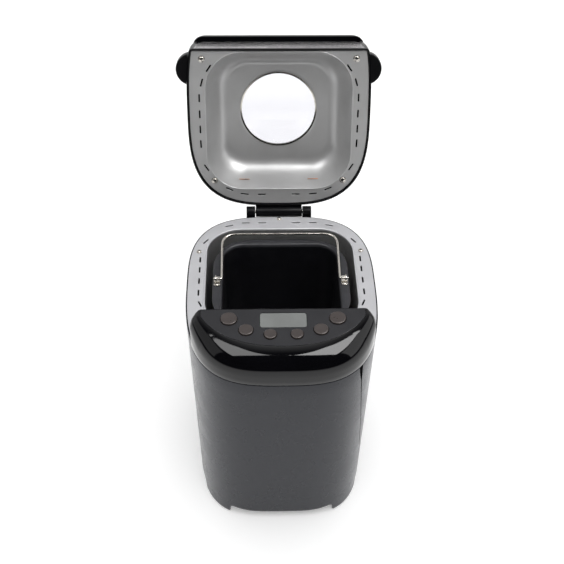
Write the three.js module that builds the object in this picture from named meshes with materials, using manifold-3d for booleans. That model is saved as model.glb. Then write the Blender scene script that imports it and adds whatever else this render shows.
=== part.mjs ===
// A vertical bread machine with its lid open: tapering oval body, crescent control cap, lift-out pan
// with a wire bail, belt drive below the chamber, and a hinged lid with a round window.
//
// Millimetres, +Z up, +X to the right of a person facing the controls, the controls on the -Y side.
// Pieces are laid out from the middle of the body's oval plan, with heights counted from the top of the
// rim plate. At the end the whole machine is moved so that the origin lies on the table, under the
// middle of the open machine's overall width and depth.
import * as THREE from "three";
import { mergeVertices } from "three/addons/utils/BufferGeometryUtils.js";
import Module from "manifold-3d";

const wasm = await Module();
wasm.setup();

// ---------------------------------------------------------------- driving dimensions (mm)
const GAP = 0.3; // between pieces that touch
const RIM_HEIGHT = 281; // table to the top of the rim plate

const BODY = {
  halfWidth: 113,
  rear: 122, // plan centre to the back
  front: 158.5, // plan centre to the front
  power: 3.05, // exponent of the oval plan at the top
  basePower: 3.4, // and at the table
  baseWidth: 0.935, // share of the width that is left at the table
  baseFront: 0.9, // share of the front half's depth left at the table
  wall: 2.5,
  skirt: 270, // down to the lower edge between the feet
  seam: 10, // down to the joint under the control cap
  footReach: 67, // half the span of the arch between the front feet
};
const RIM = { thickness: 1.5, inset: 1.7, capJoint: -97, bead: 1.3, beadWidth: 3.2 };
const OPENING = { halfWidth: 90, rear: 94, front: -78, radius: 42 };
const CHAMBER = { floor: 176, wall: 1.2, inset: 1.6 };
const PAN = {
  centre: 7.4,
  halfWidth: 70, // inside
  halfDepth: 67.5, // inside
  radius: 24,
  draft: 3,
  rim: 8, // the rim's top lies this far below the plate
  depth: 140,
  foot: 26, // the ring under its floor
  wall: 1.3,
  flangeHalfWidth: 82.5,
  flangeHalfDepth: 78,
  flangeRadius: 50,
};
const BAIL = { leg: 71.3, lean: 8.3, halfSpan: 71.5, tip: 82, wire: 1.5, bend: 18, pivotDepth: 4.6 };
const CAP = {
  back: -82.5, // its straight rear wall
  backHeight: 35,
  slope: 8.5, // degrees that the panel falls towards the user
  corner: 14,
  wall: 2.5,
  roundness: 25.4, // greatest height of the rolled edge
};
const PANEL = { centre: -60, halfWidth: 100, depth: 73.6, power: 2.2, backHalfWidth: 92, thickness: 1.6 };
const DISPLAY = { halfWidth: 25.8, near: -108.5, far: -89.1, radius: 3 };
const BUTTONS = [
  { name: "outer", x: 60.3, y: -97.2, width: 18.4, depth: 16.6 },
  { name: "middle", x: 41.3, y: -112.2, width: 16.2, depth: 14.6 },
  { name: "inner", x: 14.7, y: -118.1, width: 14, depth: 12.9 },
];
const BUTTON_HEIGHT = 1.7;
const LID = {
  angle: 105.5, // opened from closed, degrees
  hingeBack: 8.2, // hinge axis behind the rear of the oval
  hingeHeight: 1,
  front: -81.3, // front face when closed
  lipFront: -87.5,
  lipHeight: 37,
  linerRecess: 2, // the liner's flange above the dome's rim
  height: 50,
  wall: 2.6,
  shoulder: 20, // how far the sides lean in at the top
  shoulderStart: 12,
};
const DISH = { halfWidth: 90, rear: 99, front: -76.6, radius: 46, depth: 36, wall: 1.2 };
const DISH_FLOOR = { halfWidth: 62, rear: 68, front: -52, radius: 26 };
const WINDOW = { centre: 4.8, radius: 46.3 };
const GRIP = { x: 106.4, y: -52.4, radius: 19.6, low: 14, high: 28 };
const STRIP = { halfWidth: 103.5, low: 3.2, high: 35, cornerWidth: 17, thickness: 1.4 };
const HINGE = { armHalfWidth: 29.8, knuckleHalfWidth: 41.8, radius: 7, pin: 2.4 };
const DRIVE = {
  pulley: 42,
  pulleyTop: -196,
  pulleyBottom: -208,
  shaft: 4.9,
  motorY: -113,
  motorPulley: 10,
};

const SEGMENTS = 44; // points round a large outline
const SLOT = { length: 10.5, width: 2 };

// ---------------------------------------------------------------- materials
const finish = (color, roughness, metalness) =>
  new THREE.MeshStandardMaterial({ color, roughness, metalness });
const glossBlack = () => finish(0x0b0b0d, 0.08, 0);
const satinBlack = () => finish(0x202124, 0.5, 0);
const bodyPaint = () => finish(0x3d3f44, 0.35, 0.1);
const silver = () => finish(0xb9babd, 0.4, 0.9);
const steel = () => finish(0xc8c4ba, 0.25, 1);
const nonStick = () => finish(0x1b1b1e, 0.45, 0.2);
const glass = () => {
  const material = finish(0xf2f5f7, 0.05, 0);
  material.transparent = true;
  material.opacity = 0.3;
  return material;
};
const rubber = () => finish(0x18181a, 0.9, 0);

// ---------------------------------------------------------------- solids
const solid = (geometry) => {
  const bare = geometry.clone();
  for (const name of Object.keys(bare.attributes)) if (name !== "position") bare.deleteAttribute(name);
  const merged = mergeVertices(bare, 1e-4);
  return new wasm.Manifold(
    new wasm.Mesh({
      numProp: 3,
      vertProperties: merged.attributes.position.array,
      triVerts: new Uint32Array(merged.index.array),
    }),
  );
};

const geometryOf = (manifold) => {
  const { vertProperties, triVerts } = manifold.getMesh();
  return new THREE.BufferGeometry()
    .setAttribute("position", new THREE.BufferAttribute(new Float32Array(vertProperties), 3))
    .setIndex(new THREE.BufferAttribute(new Uint32Array(triVerts), 1));
};

// A closed solid through rings of points, listed from the bottom up and running anticlockwise from above.
function loft(rings) {
  const count = rings[0].length;
  const flat = (ring) => ring.map((p) => new THREE.Vector2(p.x, p.y));
  const positions = rings.flat().flatMap((p) => [p.x, p.y, p.z]);
  const faces = [];
  for (let r = 0; r + 1 < rings.length; r += 1) {
    for (let i = 0; i < count; i += 1) {
      const a = r * count + i;
      const b = r * count + ((i + 1) % count);
      faces.push(a, b, b + count, a, b + count, a + count);
    }
  }
  const cap = THREE.ShapeUtils.triangulateShape(flat(rings[0]), []);
  const top = THREE.ShapeUtils.triangulateShape(flat(rings.at(-1)), []);
  const last = (rings.length - 1) * count;
  cap.forEach(([a, b, c]) => faces.push(a, c, b));
  top.forEach(([a, b, c]) => faces.push(last + a, last + b, last + c));
  const geometry = new THREE.BufferGeometry()
    .setAttribute("position", new THREE.Float32BufferAttribute(positions, 3))
    .setIndex(faces);
  return solid(geometry);
}

function slab(shape, low, high, curveSegments = 8) {
  const settings = { depth: high - low, bevelEnabled: false, curveSegments };
  return solid(new THREE.ExtrudeGeometry(shape, settings).translate(0, 0, low));
}

const box = (x0, x1, y0, y1, z0, z1) =>
  solid(
    new THREE.BoxGeometry(x1 - x0, y1 - y0, z1 - z0).translate(
      (x0 + x1) / 2,
      (y0 + y1) / 2,
      (z0 + z1) / 2,
    ),
  );

const disc = (radius, low, high, x = 0, y = 0, sides = 28, topRadius = radius) =>
  solid(
    new THREE.CylinderGeometry(topRadius, radius, high - low, sides)
      .rotateX(Math.PI / 2)
      .translate(x, y, (low + high) / 2),
  );

// A rod along X.
const rod = (radius, x0, x1, y, z, sides = 20) =>
  solid(
    new THREE.CylinderGeometry(radius, radius, x1 - x0, sides)
      .rotateZ(Math.PI / 2)
      .translate((x0 + x1) / 2, y, z),
  );

// A round bar bent along a curve.
const bar = (curve, radius, steps, sides = 8) => {
  const section = new THREE.Shape().absarc(0, 0, radius, 0, Math.PI * 2);
  const settings = { extrudePath: curve, steps, curveSegments: sides / 2, bevelEnabled: false };
  return solid(new THREE.ExtrudeGeometry(section, settings));
};

// ---------------------------------------------------------------- outlines
const signedPower = (value, power) => Math.sign(value) * Math.abs(value) ** power;

// The oval plan: two half superellipses that share their width.
function ovalPoint(turn, halfWidth, rear, front, power) {
  const x = halfWidth * signedPower(Math.cos(turn), 2 / power);
  const reach = Math.sin(turn) > 0 ? rear : front;
  return new THREE.Vector2(x, reach * signedPower(Math.sin(turn), 2 / power));
}

const spread = (points, count) => {
  const closed = [...points, points[0]].map((p) => new THREE.Vector2(p.x, p.y));
  return new THREE.Path(closed).getSpacedPoints(count).slice(0, count);
};

function oval(halfWidth, rear, front, power) {
  const fine = Array.from({ length: 240 }, (_, i) =>
    ovalPoint((i / 240) * Math.PI * 2, halfWidth, rear, front, power),
  );
  return spread(fine, SEGMENTS);
}

const bodyOval = (inset) => oval(BODY.halfWidth - inset, BODY.rear - inset, BODY.front - inset, BODY.power);

const at = (points, z) => points.map((p) => new THREE.Vector3(p.x, p.y, z));
const shapeOf = (points) => new THREE.Shape(points);

// A rectangle with round corners, as points that match between rectangles of the same corner count.
function roundedPoints(x0, x1, y0, y1, radius, perCorner = 5) {
  const corners = [
    [x1 - radius, y0 + radius, -Math.PI / 2],
    [x1 - radius, y1 - radius, 0],
    [x0 + radius, y1 - radius, Math.PI / 2],
    [x0 + radius, y0 + radius, Math.PI],
  ];
  return corners.flatMap(([cx, cy, start]) =>
    Array.from({ length: perCorner + 1 }, (_, i) => {
      const angle = start + (i / perCorner) * (Math.PI / 2);
      return new THREE.Vector2(cx + radius * Math.cos(angle), cy + radius * Math.sin(angle));
    }),
  );
}

function around(o, grow, radiusGrow = grow) {
  const half = o.halfWidth + grow;
  return roundedPoints(-half, half, o.front - grow, o.rear + grow, o.radius + radiusGrow);
}

// Where rays from a centre meet a closed outline, at even angles, so that two outlines can be lofted.
function spokes(points, centre, count = SEGMENTS) {
  const edges = points.map((p, i) => [p, points[(i + 1) % points.length]]);
  return Array.from({ length: count }, (_, k) => {
    const angle = ((k + 0.5) / count) * Math.PI * 2;
    const direction = new THREE.Vector2(Math.cos(angle), Math.sin(angle));
    const reach = Math.max(
      ...edges.map(([a, b]) => {
        const edge = b.clone().sub(a);
        const cross = direction.cross(edge);
        const offset = a.clone().sub(centre);
        const along = offset.cross(edge) / cross;
        const share = offset.cross(direction) / cross;
        return Math.abs(cross) > 1e-9 && share >= -1e-9 && share <= 1 + 1e-9 ? along : -Infinity;
      }),
    );
    return direction.multiplyScalar(reach).add(centre);
  });
}

// The part of the body's oval behind a straight cut, or before it, with round corners at the cut.
function cutOval(inset, cut, corner, keepFront) {
  const sign = keepFront ? -1 : 1;
  const line = cut + sign * corner;
  const points = bodyOval(inset);
  const clipped = points.flatMap((p, i) => {
    const next = points[(i + 1) % points.length];
    const share = (line - p.y) / (next.y - p.y);
    const crossing = share > 0 && share < 1 ? [p.clone().lerp(next, share)] : [];
    return sign * (p.y - line) > 0 ? [p, ...crossing] : crossing;
  });
  const first = clipped.findIndex((p, i) => {
    const before = clipped.at(i - 1);
    return Math.abs(p.y - line) < 1e-6 && Math.abs(before.y - line) < 1e-6;
  });
  const run = [...clipped.slice(first), ...clipped.slice(0, first)];
  const steps = corner > 2 ? 5 : 1;
  const lean = (p, k) => {
    const angle = (k / steps) * (Math.PI / 2);
    const x = p.x - Math.sign(p.x) * corner * (1 - Math.cos(angle));
    return new THREE.Vector2(x, line - sign * corner * Math.sin(angle));
  };
  const bow = Array.from({ length: steps }, (_, k) => k + 1);
  const closing = bow.map((k) => lean(run.at(-1), k));
  return [...run, ...closing, ...bow.reverse().map((k) => lean(run[0], k))];
}

// A slot with round ends, turned about its own centre.
const slotCutter = (x, y, angle, low, high) => {
  const half = SLOT.length / 2 - SLOT.width / 2;
  const r = SLOT.width / 2;
  const shape = new THREE.Shape()
    .moveTo(-half, -r)
    .lineTo(half, -r)
    .absarc(half, 0, r, -Math.PI / 2, Math.PI / 2)
    .lineTo(-half, r)
    .absarc(-half, 0, r, Math.PI / 2, Math.PI * 1.5);
  return slab(shape, low, high, 2).rotate([0, 0, angle]).translate([x, y, 0]);
};

const screwHole = (x, y, low, high) => disc(2.2, low, high, x, y, 8);

// ---------------------------------------------------------------- placing
const machine = new THREE.Group();
const lidGroup = new THREE.Group();
const lidHinge = new THREE.Group();
lidHinge.position.set(0, BODY.rear + LID.hingeBack, LID.hingeHeight);
lidHinge.rotation.x = THREE.MathUtils.degToRad(-LID.angle);
lidGroup.position.copy(lidHinge.position).negate();
lidHinge.add(lidGroup);
machine.add(lidHinge);

function add(name, manifold, material, parent = machine) {
  const mesh = new THREE.Mesh(geometryOf(manifold), material);
  mesh.name = name;
  parent.add(mesh);
}

// ---------------------------------------------------------------- body shell and base
// The share of the way down to the table, for a height below the rim plate.
const taperAt = (z) => -z / RIM_HEIGHT;

function bodyRing(z, inset) {
  const t = taperAt(z);
  const width = BODY.halfWidth * THREE.MathUtils.lerp(1, BODY.baseWidth, t) - inset;
  const rear = BODY.rear * THREE.MathUtils.lerp(1, BODY.baseWidth, t) - inset;
  const front = BODY.front * THREE.MathUtils.lerp(1, BODY.baseFront, t) - inset;
  return at(oval(width, rear, front, THREE.MathUtils.lerp(BODY.power, BODY.basePower, t)), z);
}

const bodySolid = (inset, levels) => loft(levels.map((z) => bodyRing(z, inset)));

function archCutters() {
  const corner = 7;
  const low = -RIM_HEIGHT - 1;
  const edge = -BODY.skirt;
  const arch = (half) =>
    new THREE.Shape()
      .moveTo(-half, low)
      .lineTo(half, low)
      .lineTo(half, edge - corner)
      .absarc(half - corner, edge - corner, corner, 0, Math.PI / 2)
      .absarc(-half + corner, edge - corner, corner, Math.PI / 2, Math.PI);
  const through = (half) => slab(arch(half), -200, 200, 4).rotate([90, 0, 0]);
  return [through(BODY.footReach), through(BODY.footReach + 22).rotate([0, 0, 90]).translate([0, -6, 0])];
}

function outerShell() {
  const hollow = bodySolid(BODY.wall, [-RIM_HEIGHT - 1, -140, 1]);
  let shell = bodySolid(0, [-RIM_HEIGHT, -140, 0]).subtract(hollow);
  shell = shell.subtract(box(-130, 130, -200, RIM.capJoint, -BODY.seam, 5));
  shell = shell.subtract(slab(shapeOf(bodyOval(RIM.inset - GAP)), -RIM.thickness - GAP, 5));
  for (const cutter of archCutters()) shell = shell.subtract(cutter);
  shell = shell.subtract(box(-16, 16, 95, 130, -246, -232)); // power inlet
  for (let i = 0; i < 5; i += 1) {
    shell = shell.subtract(box(-38, 38, 95, 130, -84 - i * 11, -79 - i * 11)); // rear louvres
  }
  return shell.subtract(sideJoint());
}

// The joint where the wrapped body sheet meets its own edge, on the right towards the front.
function sideJoint() {
  const x = 88;
  return box(x - 0.6, x + 0.6, -150, -127, -BODY.skirt + 30, -BODY.seam - 1);
}

function basePlate() {
  const outline = (z) => bodyRing(z, BODY.wall + GAP);
  let plate = loft([outline(-BODY.skirt + 4), outline(-BODY.skirt + 7)]);
  for (let i = -2; i <= 2; i += 1) {
    plate = plate.subtract(box(i * 16 - 2.5, i * 16 + 2.5, 40, 84, -275, -255)); // cooling vents
  }
  return plate;
}

function foot(side, end) {
  const y = end > 0 ? 80 : -104;
  return disc(9, -RIM_HEIGHT - 2, -BODY.skirt + 3.6, side * 72, y, 20, 10);
}

// The block in the rear wall that the mains lead passes through.
function inletGland() {
  const hole = disc(4.5, -20, 20, 0, 0, 20).rotate([90, 0, 0]).translate([0, 113, -239]);
  return box(-15.6, 15.6, 108.5, 117.5, -245.6, -232.4).subtract(hole);
}

// ---------------------------------------------------------------- rim plate
const RIM_SLOTS = [
  ...[-43, -21.8, 21.8, 43].map((x) => [x, 108.9, 0]),
  [-63.5, 103.3, 16],
  [63.5, 103.3, -16],
  [-92.3, 73.2, 55],
  [92.3, 73.2, -55],
  ...[-1, 1].flatMap((side) => [39, 20.6, 0.7, -19.7].map((y) => [side * 98.2, y, 90])),
  [-95.9, -38.6, -68],
  [95.9, -38.6, 68],
];
const RIM_SCREWS = [
  [0, 115.7],
  [-100.1, 53.2],
  [100.1, 53.2],
];

function rimPlate() {
  const outline = cutOval(RIM.inset, RIM.capJoint + GAP, 0.5, false);
  const inside = around(OPENING, 0);
  const sheet = slab(shapeOf(outline), -RIM.thickness, 0).subtract(slab(shapeOf(inside), -9, 9));
  const bead = loft([
    at(around(OPENING, RIM.beadWidth), -RIM.thickness / 2),
    at(around(OPENING, RIM.beadWidth / 2), RIM.bead),
  ]);
  let plate = sheet.add(bead.subtract(slab(shapeOf(inside), -9, 9)));
  for (const [x, y, angle] of RIM_SLOTS) plate = plate.subtract(slotCutter(x, y, angle, -5, 5));
  for (const [x, y] of RIM_SCREWS) plate = plate.subtract(screwHole(x, y, -5, 5));
  return plate;
}

// A domed cross-head screw standing on a sheet, with a short shank under it.
function screw(x, y, seat, radius) {
  const washer = disc(radius, seat + GAP, seat + 1.1, x, y, 12);
  const head = disc(radius * 0.8, seat + 1, seat + 2.2, x, y, 12, radius * 0.55).add(washer);
  const shank = disc(1.7, seat - 5, seat + 1, x, y, 6);
  const groove = box(-0.4, 0.4, -1.6, 1.6, seat + 1.3, seat + 4);
  const cross = groove.add(groove.rotate([0, 0, 90])).translate([x, y, 0]);
  return head.add(shank).subtract(cross);
}

// ---------------------------------------------------------------- baking chamber
function chamber() {
  const top = -RIM.thickness - GAP;
  const grow = CHAMBER.inset;
  const outer = loft([
    at(around(OPENING, grow - 5, grow - 9), -CHAMBER.floor - CHAMBER.wall),
    at(around(OPENING, grow), -40),
    at(around(OPENING, grow), top),
  ]);
  const inner = loft([
    at(around(OPENING, grow - 5 - CHAMBER.wall, grow - 10), -CHAMBER.floor),
    at(around(OPENING, grow - CHAMBER.wall), -40),
    at(around(OPENING, grow - CHAMBER.wall), top + 1),
  ]);
  const lip = slab(shapeOf(around(OPENING, grow + 3)), top - 1.2, top);
  const probeHole = disc(2.6, 80, 100, 0, 118, 12).rotate([-90, 0, 0]);
  const shaftHole = disc(8, -190, -170, 0, PAN.centre, 20);
  return outer.add(lip).subtract(inner).subtract(shaftHole).subtract(probeHole);
}

// A tubular element that runs round the chamber above its floor, open at the front between its ends.
function heater() {
  const run = at(roundedPoints(-76, 76, -64, 79, 34, 4), -156);
  return bar(new THREE.CatmullRomCurve3(run, false, "catmullrom", 0.1), 3.2, 32, 6);
}

const temperatureProbe = () =>
  disc(4, 0, 3, 0, 0, 16)
    .add(disc(2.2, -9, 1, 0, 0, 12))
    .rotate([90, 0, 0])
    .translate([0, 88.6, -118]);

// ---------------------------------------------------------------- pan
const panBox = (grow, z) => {
  const t = (-z - PAN.rim) / PAN.depth;
  const w = PAN.halfWidth + grow - PAN.draft * t;
  const d = PAN.halfDepth + grow - PAN.draft * t;
  return at(roundedPoints(-w, w, PAN.centre - d, PAN.centre + d, PAN.radius + grow), z);
};

function pan() {
  const floor = -PAN.rim - PAN.depth;
  const w = PAN.flangeHalfWidth;
  const d = PAN.flangeHalfDepth;
  const flange = roundedPoints(-w, w, PAN.centre - d, PAN.centre + d, PAN.flangeRadius);
  const body = loft([panBox(PAN.wall, floor - PAN.wall), panBox(PAN.wall, -PAN.rim)]);
  return body
    .add(slab(shapeOf(flange), -PAN.rim - 1.4, -PAN.rim))
    .subtract(loft([panBox(0, floor), panBox(0, -PAN.rim + 1)]))
    .subtract(disc(6.3, floor - 20, floor + 5, 0, PAN.centre, 24));
}

// The ring fixed under the pan's floor, which drops into the socket.
function panFoot() {
  const top = -PAN.rim - PAN.depth - PAN.wall - GAP;
  return disc(38, top - PAN.foot + 1.6, top, 0, PAN.centre).subtract(
    disc(35.5, top - PAN.foot, top + 1, 0, PAN.centre),
  );
}

// A bracket riveted to the rim on each side that holds one end of the bail.
function panBracket(side) {
  const low = -PAN.rim + GAP;
  const plate = box(73.6, 80.6, -8, 8, low, low + 1.2);
  const cheek = box(75.2, 79.4, -4, 4, low, -PAN.rim + BAIL.pivotDepth + 4.2);
  const made = plate.add(cheek).translate([0, PAN.centre, 0]);
  const eye = rod(BAIL.wire + 0.9, 70, 84, PAN.centre, -PAN.rim + BAIL.pivotDepth, 12);
  return (side > 0 ? made : made.mirror([1, 0, 0])).subtract(side > 0 ? eye : eye.mirror([1, 0, 0]));
}

function bail() {
  const lean = THREE.MathUtils.degToRad(BAIL.lean);
  const pivotZ = -PAN.rim + BAIL.pivotDepth;
  const place = (x, along) =>
    new THREE.Vector3(x, PAN.centre + along * Math.cos(lean), pivotZ + along * Math.sin(lean));
  const hooks = 3;
  const half = [
    [BAIL.tip, 0],
    [BAIL.halfSpan + hooks, 0],
    [BAIL.halfSpan, hooks],
    [BAIL.halfSpan, BAIL.leg - BAIL.bend],
  ];
  const curve = new THREE.CurvePath();
  const left = half.map(([x, along]) => place(-x, along));
  const right = half.map(([x, along]) => place(x, along)).reverse();
  const bendTo = (a, corner, b) => curve.add(new THREE.QuadraticBezierCurve3(a, corner, b));
  curve.add(new THREE.LineCurve3(left[0], left[1]));
  bendTo(left[1], place(-BAIL.halfSpan, 0), left[2]);
  curve.add(new THREE.LineCurve3(left[2], left[3]));
  const topLeft = place(-BAIL.halfSpan + BAIL.bend, BAIL.leg);
  const topRight = place(BAIL.halfSpan - BAIL.bend, BAIL.leg);
  bendTo(left[3], place(-BAIL.halfSpan, BAIL.leg), topLeft);
  curve.add(new THREE.LineCurve3(topLeft, topRight));
  bendTo(topRight, place(BAIL.halfSpan, BAIL.leg), right[0]);
  curve.add(new THREE.LineCurve3(right[0], right[1]));
  bendTo(right[1], place(BAIL.halfSpan, 0), right[2]);
  curve.add(new THREE.LineCurve3(right[2], right[3]));
  return bar(curve, BAIL.wire, 60, 6);
}

// ---------------------------------------------------------------- kneading drive
const PAN_FLOOR = -PAN.rim - PAN.depth;
const PADDLE_FLOAT = 3.4; // the paddle's height over the pan's floor

function panSpindle() {
  const shaft = disc(DRIVE.shaft, PAN_FLOOR - 11.2, PAN_FLOOR + 22, 0, PAN.centre, 20);
  const wing = box(-14, 14, -2.5, 2.5, PAN_FLOOR - 10.5, PAN_FLOOR - 6.5).translate([0, PAN.centre, 0]);
  return shaft.add(wing);
}

function paddle() {
  const hub = disc(10, PAN_FLOOR, PAN_FLOOR + 25, 0, 0, 28, 8);
  const blade = new THREE.Shape()
    .moveTo(0, 0)
    .lineTo(34, 0)
    .quadraticCurveTo(42, 4, 38, 16)
    .quadraticCurveTo(30, 30, 12, 34)
    .lineTo(0, 26);
  const wing = slab(blade, -2, 2, 6).rotate([90, 0, 0]).translate([0, 0, PAN_FLOOR]);
  return hub
    .add(wing)
    .subtract(disc(DRIVE.shaft + GAP, PAN_FLOOR - 1, PAN_FLOOR + 21.6, 0, 0, 24))
    .rotate([0, 0, 24])
    .translate([0, PAN.centre, PADDLE_FLOAT]);
}

function driveShaft() {
  const y = PAN.centre;
  const fork = disc(15, -171, -154.5, 0, y, 24).subtract(box(-16, 16, y - 6.2, y + 6.2, -160.2, -150));
  const shaft = disc(4, DRIVE.pulleyBottom - 6, -168, 0, y, 20);
  const hub = disc(9, -230, -180, 0, y, 16);
  const dish = disc(DRIVE.pulley - 6, DRIVE.pulleyTop - 4, DRIVE.pulleyTop + 1, 0, y, 24).subtract(hub);
  let wheel = disc(DRIVE.pulley, DRIVE.pulleyBottom, DRIVE.pulleyTop, 0, y, 28).subtract(dish);
  for (let i = 0; i < 4; i += 1) {
    const angle = (i / 4) * Math.PI * 2;
    wheel = wheel.subtract(disc(8.5, -230, -180, 22 * Math.cos(angle), y + 22 * Math.sin(angle), 10));
  }
  return shaft.add(fork).add(wheel);
}

const bearingHousing = () =>
  disc(13, -193.5, -CHAMBER.floor - CHAMBER.wall - GAP, 0, PAN.centre, 24)
    .add(disc(26, -184, -CHAMBER.floor - CHAMBER.wall - GAP, 0, PAN.centre, 28))
    .subtract(disc(4 + GAP, -200, -170, 0, PAN.centre, 20));

// The ring on the chamber floor that the pan's foot drops into.
const panSocket = () =>
  disc(46, -CHAMBER.floor + GAP, -CHAMBER.floor + 2.2, 0, PAN.centre, 28)
    .add(disc(42.5, -CHAMBER.floor + GAP, -161, 0, PAN.centre, 28))
    .subtract(disc(39.5, -CHAMBER.floor + 1.6, -150, 0, PAN.centre, 28))
    .subtract(disc(17, -180, -150, 0, PAN.centre, 24));

const motorBody = () =>
  disc(28, -185.3, -112, 0, DRIVE.motorY, 24)
    .add(disc(10, -189, -185, 0, DRIVE.motorY, 20))
    .add(disc(9, -113, -107, 0, DRIVE.motorY, 20))
    .subtract(disc(3.2, -190, -150, 0, DRIVE.motorY, 12));

const motorShaft = () =>
  disc(2.7, -214, -152, 0, DRIVE.motorY, 12).add(disc(DRIVE.motorPulley, -208, -196, 0, DRIVE.motorY, 20));

// A steel tray across the body that carries the motor and the drive's bearing.
function chassis() {
  const y0 = -136;
  const tray = slab(shapeOf(roundedPoints(-78, 78, y0, 104, 30)), -187.4, -185.6);
  const rim = slab(shapeOf(roundedPoints(-78, 78, y0, 104, 30)), -193, -185.6).subtract(
    slab(shapeOf(roundedPoints(-76.4, 76.4, y0 + 1.6, 102.4, 28.4)), -194, -187),
  );
  return tray
    .add(rim)
    .subtract(disc(27, -200, -180, 0, PAN.centre, 28))
    .subtract(disc(12, -200, -180, 0, DRIVE.motorY, 24));
}

// A flat belt round the two pulleys.
function belt() {
  const far = DRIVE.pulley + GAP;
  const near = DRIVE.motorPulley + GAP;
  const span = PAN.centre - DRIVE.motorY;
  const tilt = Math.asin((far - near) / span);
  const loop = (grow) => {
    const shape = new THREE.Shape();
    shape.absarc(0, PAN.centre, far + grow, -tilt, Math.PI + tilt);
    shape.absarc(0, DRIVE.motorY, near + grow, Math.PI + tilt, Math.PI * 2 - tilt);
    return shape;
  };
  return slab(loop(1.6), -206, -198, 14).subtract(slab(loop(0), -207, -197, 14));
}

// A circuit board on edge, with a relay, a transformer and capacitors on its face.
const powerBoard = () =>
  box(-64, -62.4, -128, -84, -185.3, -96)
    .add(box(-62.5, -46, -124, -102, -172, -146))
    .add(box(-62.5, -50, -98, -88, -140, -120))
    .add(box(-62.5, -52, -124, -112, -136, -110));

// ---------------------------------------------------------------- control cap
const slopeAngle = THREE.MathUtils.degToRad(CAP.slope);
const panelHeight = (y) => CAP.backHeight - (CAP.back - y) * Math.tan(slopeAngle);

function panelOutline(inset) {
  const side = PANEL.backHalfWidth - inset;
  const points = Array.from({ length: 49 }, (_, i) => {
    const turn = Math.PI + (i / 48) * Math.PI;
    const x = (PANEL.halfWidth - inset) * signedPower(Math.cos(turn), 2 / PANEL.power);
    const y = PANEL.centre + (PANEL.depth - inset) * signedPower(Math.sin(turn), 2 / PANEL.power);
    return new THREE.Vector2(THREE.MathUtils.clamp(x, -side, side), y);
  });
  const back = CAP.back - 1.2 - inset;
  const kept = points.filter((p) => p.y < back - 0.5);
  return [new THREE.Vector2(kept[0].x, back), ...kept, new THREE.Vector2(kept.at(-1).x, back)];
}

const CAP_CENTRE = new THREE.Vector2(0, -106);

function capSolid(inset, bottom) {
  const outer = spokes(cutOval(inset, CAP.back - inset, CAP.corner - inset * 0.5, true), CAP_CENTRE);
  const edge = spokes(panelOutline(inset), CAP_CENTRE);
  const roll = outer.map((p, i) => {
    const height = Math.min(CAP.roundness, Math.max(2, p.distanceTo(edge[i])));
    const top = panelHeight(edge[i].y) - inset;
    return { p, q: edge[i], top, start: top - height };
  });
  const steps = inset > 0 ? 3 : 5;
  const rolled = Array.from({ length: steps + 1 }, (_, k) => {
    const angle = (k / steps) * (Math.PI / 2);
    return roll.map(({ p, q, top, start }) => {
      const flat = p.clone().lerp(q, 1 - Math.cos(angle));
      return new THREE.Vector3(flat.x, flat.y, start + (top - start) * Math.sin(angle));
    });
  });
  return loft([at(outer, bottom), ...rolled]);
}

// A plate lying in the panel's slope, between two depths below its surface.
const panelSlab = (shape, below, above) =>
  slab(shape, below, above, 7)
    .translate([0, -CAP.back, 0])
    .rotate([CAP.slope, 0, 0])
    .translate([0, CAP.back, CAP.backHeight]);

const ellipse = (x, y, width, depth) =>
  new THREE.Shape().absellipse(x, y, width / 2, depth / 2, 0, Math.PI * 2);
const displayShape = (grow) =>
  shapeOf(
    roundedPoints(
      -DISPLAY.halfWidth - grow,
      DISPLAY.halfWidth + grow,
      DISPLAY.near - grow,
      DISPLAY.far + grow,
      DISPLAY.radius,
      4,
    ),
  );
const eachButton = (make) => BUTTONS.flatMap((button) => [-1, 1].map((side) => make(button, side)));

function controlCap() {
  const inside = capSolid(CAP.wall, -BODY.seam - 5);
  const floor = box(-130, 130, RIM.capJoint, -60, -40, GAP);
  return capSolid(0, -BODY.seam + GAP)
    .subtract(inside)
    .subtract(floor)
    .subtract(panelSlab(shapeOf(panelOutline(3.2)), -8, 4))
    .subtract(panelSlab(shapeOf(panelOutline(-GAP)), -PANEL.thickness - GAP, 4));
}

function controlPanel() {
  let plate = panelSlab(shapeOf(panelOutline(0)), -PANEL.thickness, 0);
  plate = plate.subtract(panelSlab(displayShape(GAP), -5, 5));
  eachButton(({ x, y, width, depth }, side) => {
    plate = plate.subtract(panelSlab(ellipse(side * x, y, width + 1, depth + 1), -5, 5));
  });
  return plate;
}

const button = ({ x, y, width, depth }, side) =>
  panelSlab(ellipse(side * x, y, width, depth), -3.2, BUTTON_HEIGHT - 0.6)
    .add(panelSlab(ellipse(side * x, y, width - 1.4, depth - 1.4), BUTTON_HEIGHT - 0.7, BUTTON_HEIGHT))
    .add(panelSlab(ellipse(side * x, y, width + 3, depth + 3), -3.8, -PANEL.thickness - 0.5));

const displayLens = () => panelSlab(displayShape(0), -2.4, -0.4);

function controlBoard() {
  const board = panelSlab(shapeOf(roundedPoints(-70, 70, -120, -89, 12, 3)), -8.6, -7);
  const glassModule = panelSlab(displayShape(1), -7.1, -2.8);
  let made = board.add(glassModule);
  eachButton(({ x, y }, side) => {
    const key = new THREE.Shape(roundedPoints(side * x - 3, side * x + 3, y - 3, y + 3, 1, 1));
    made = made.add(panelSlab(key, -7.1, -5.4));
  });
  return made;
}

// ---------------------------------------------------------------- lid, built closed
const lidTop = LID.hingeHeight + LID.height;
const lidOutline = (inset, cut, corner) => cutOval(inset, cut, corner, false);
const LID_CENTRE = new THREE.Vector2(0, 18);

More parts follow.
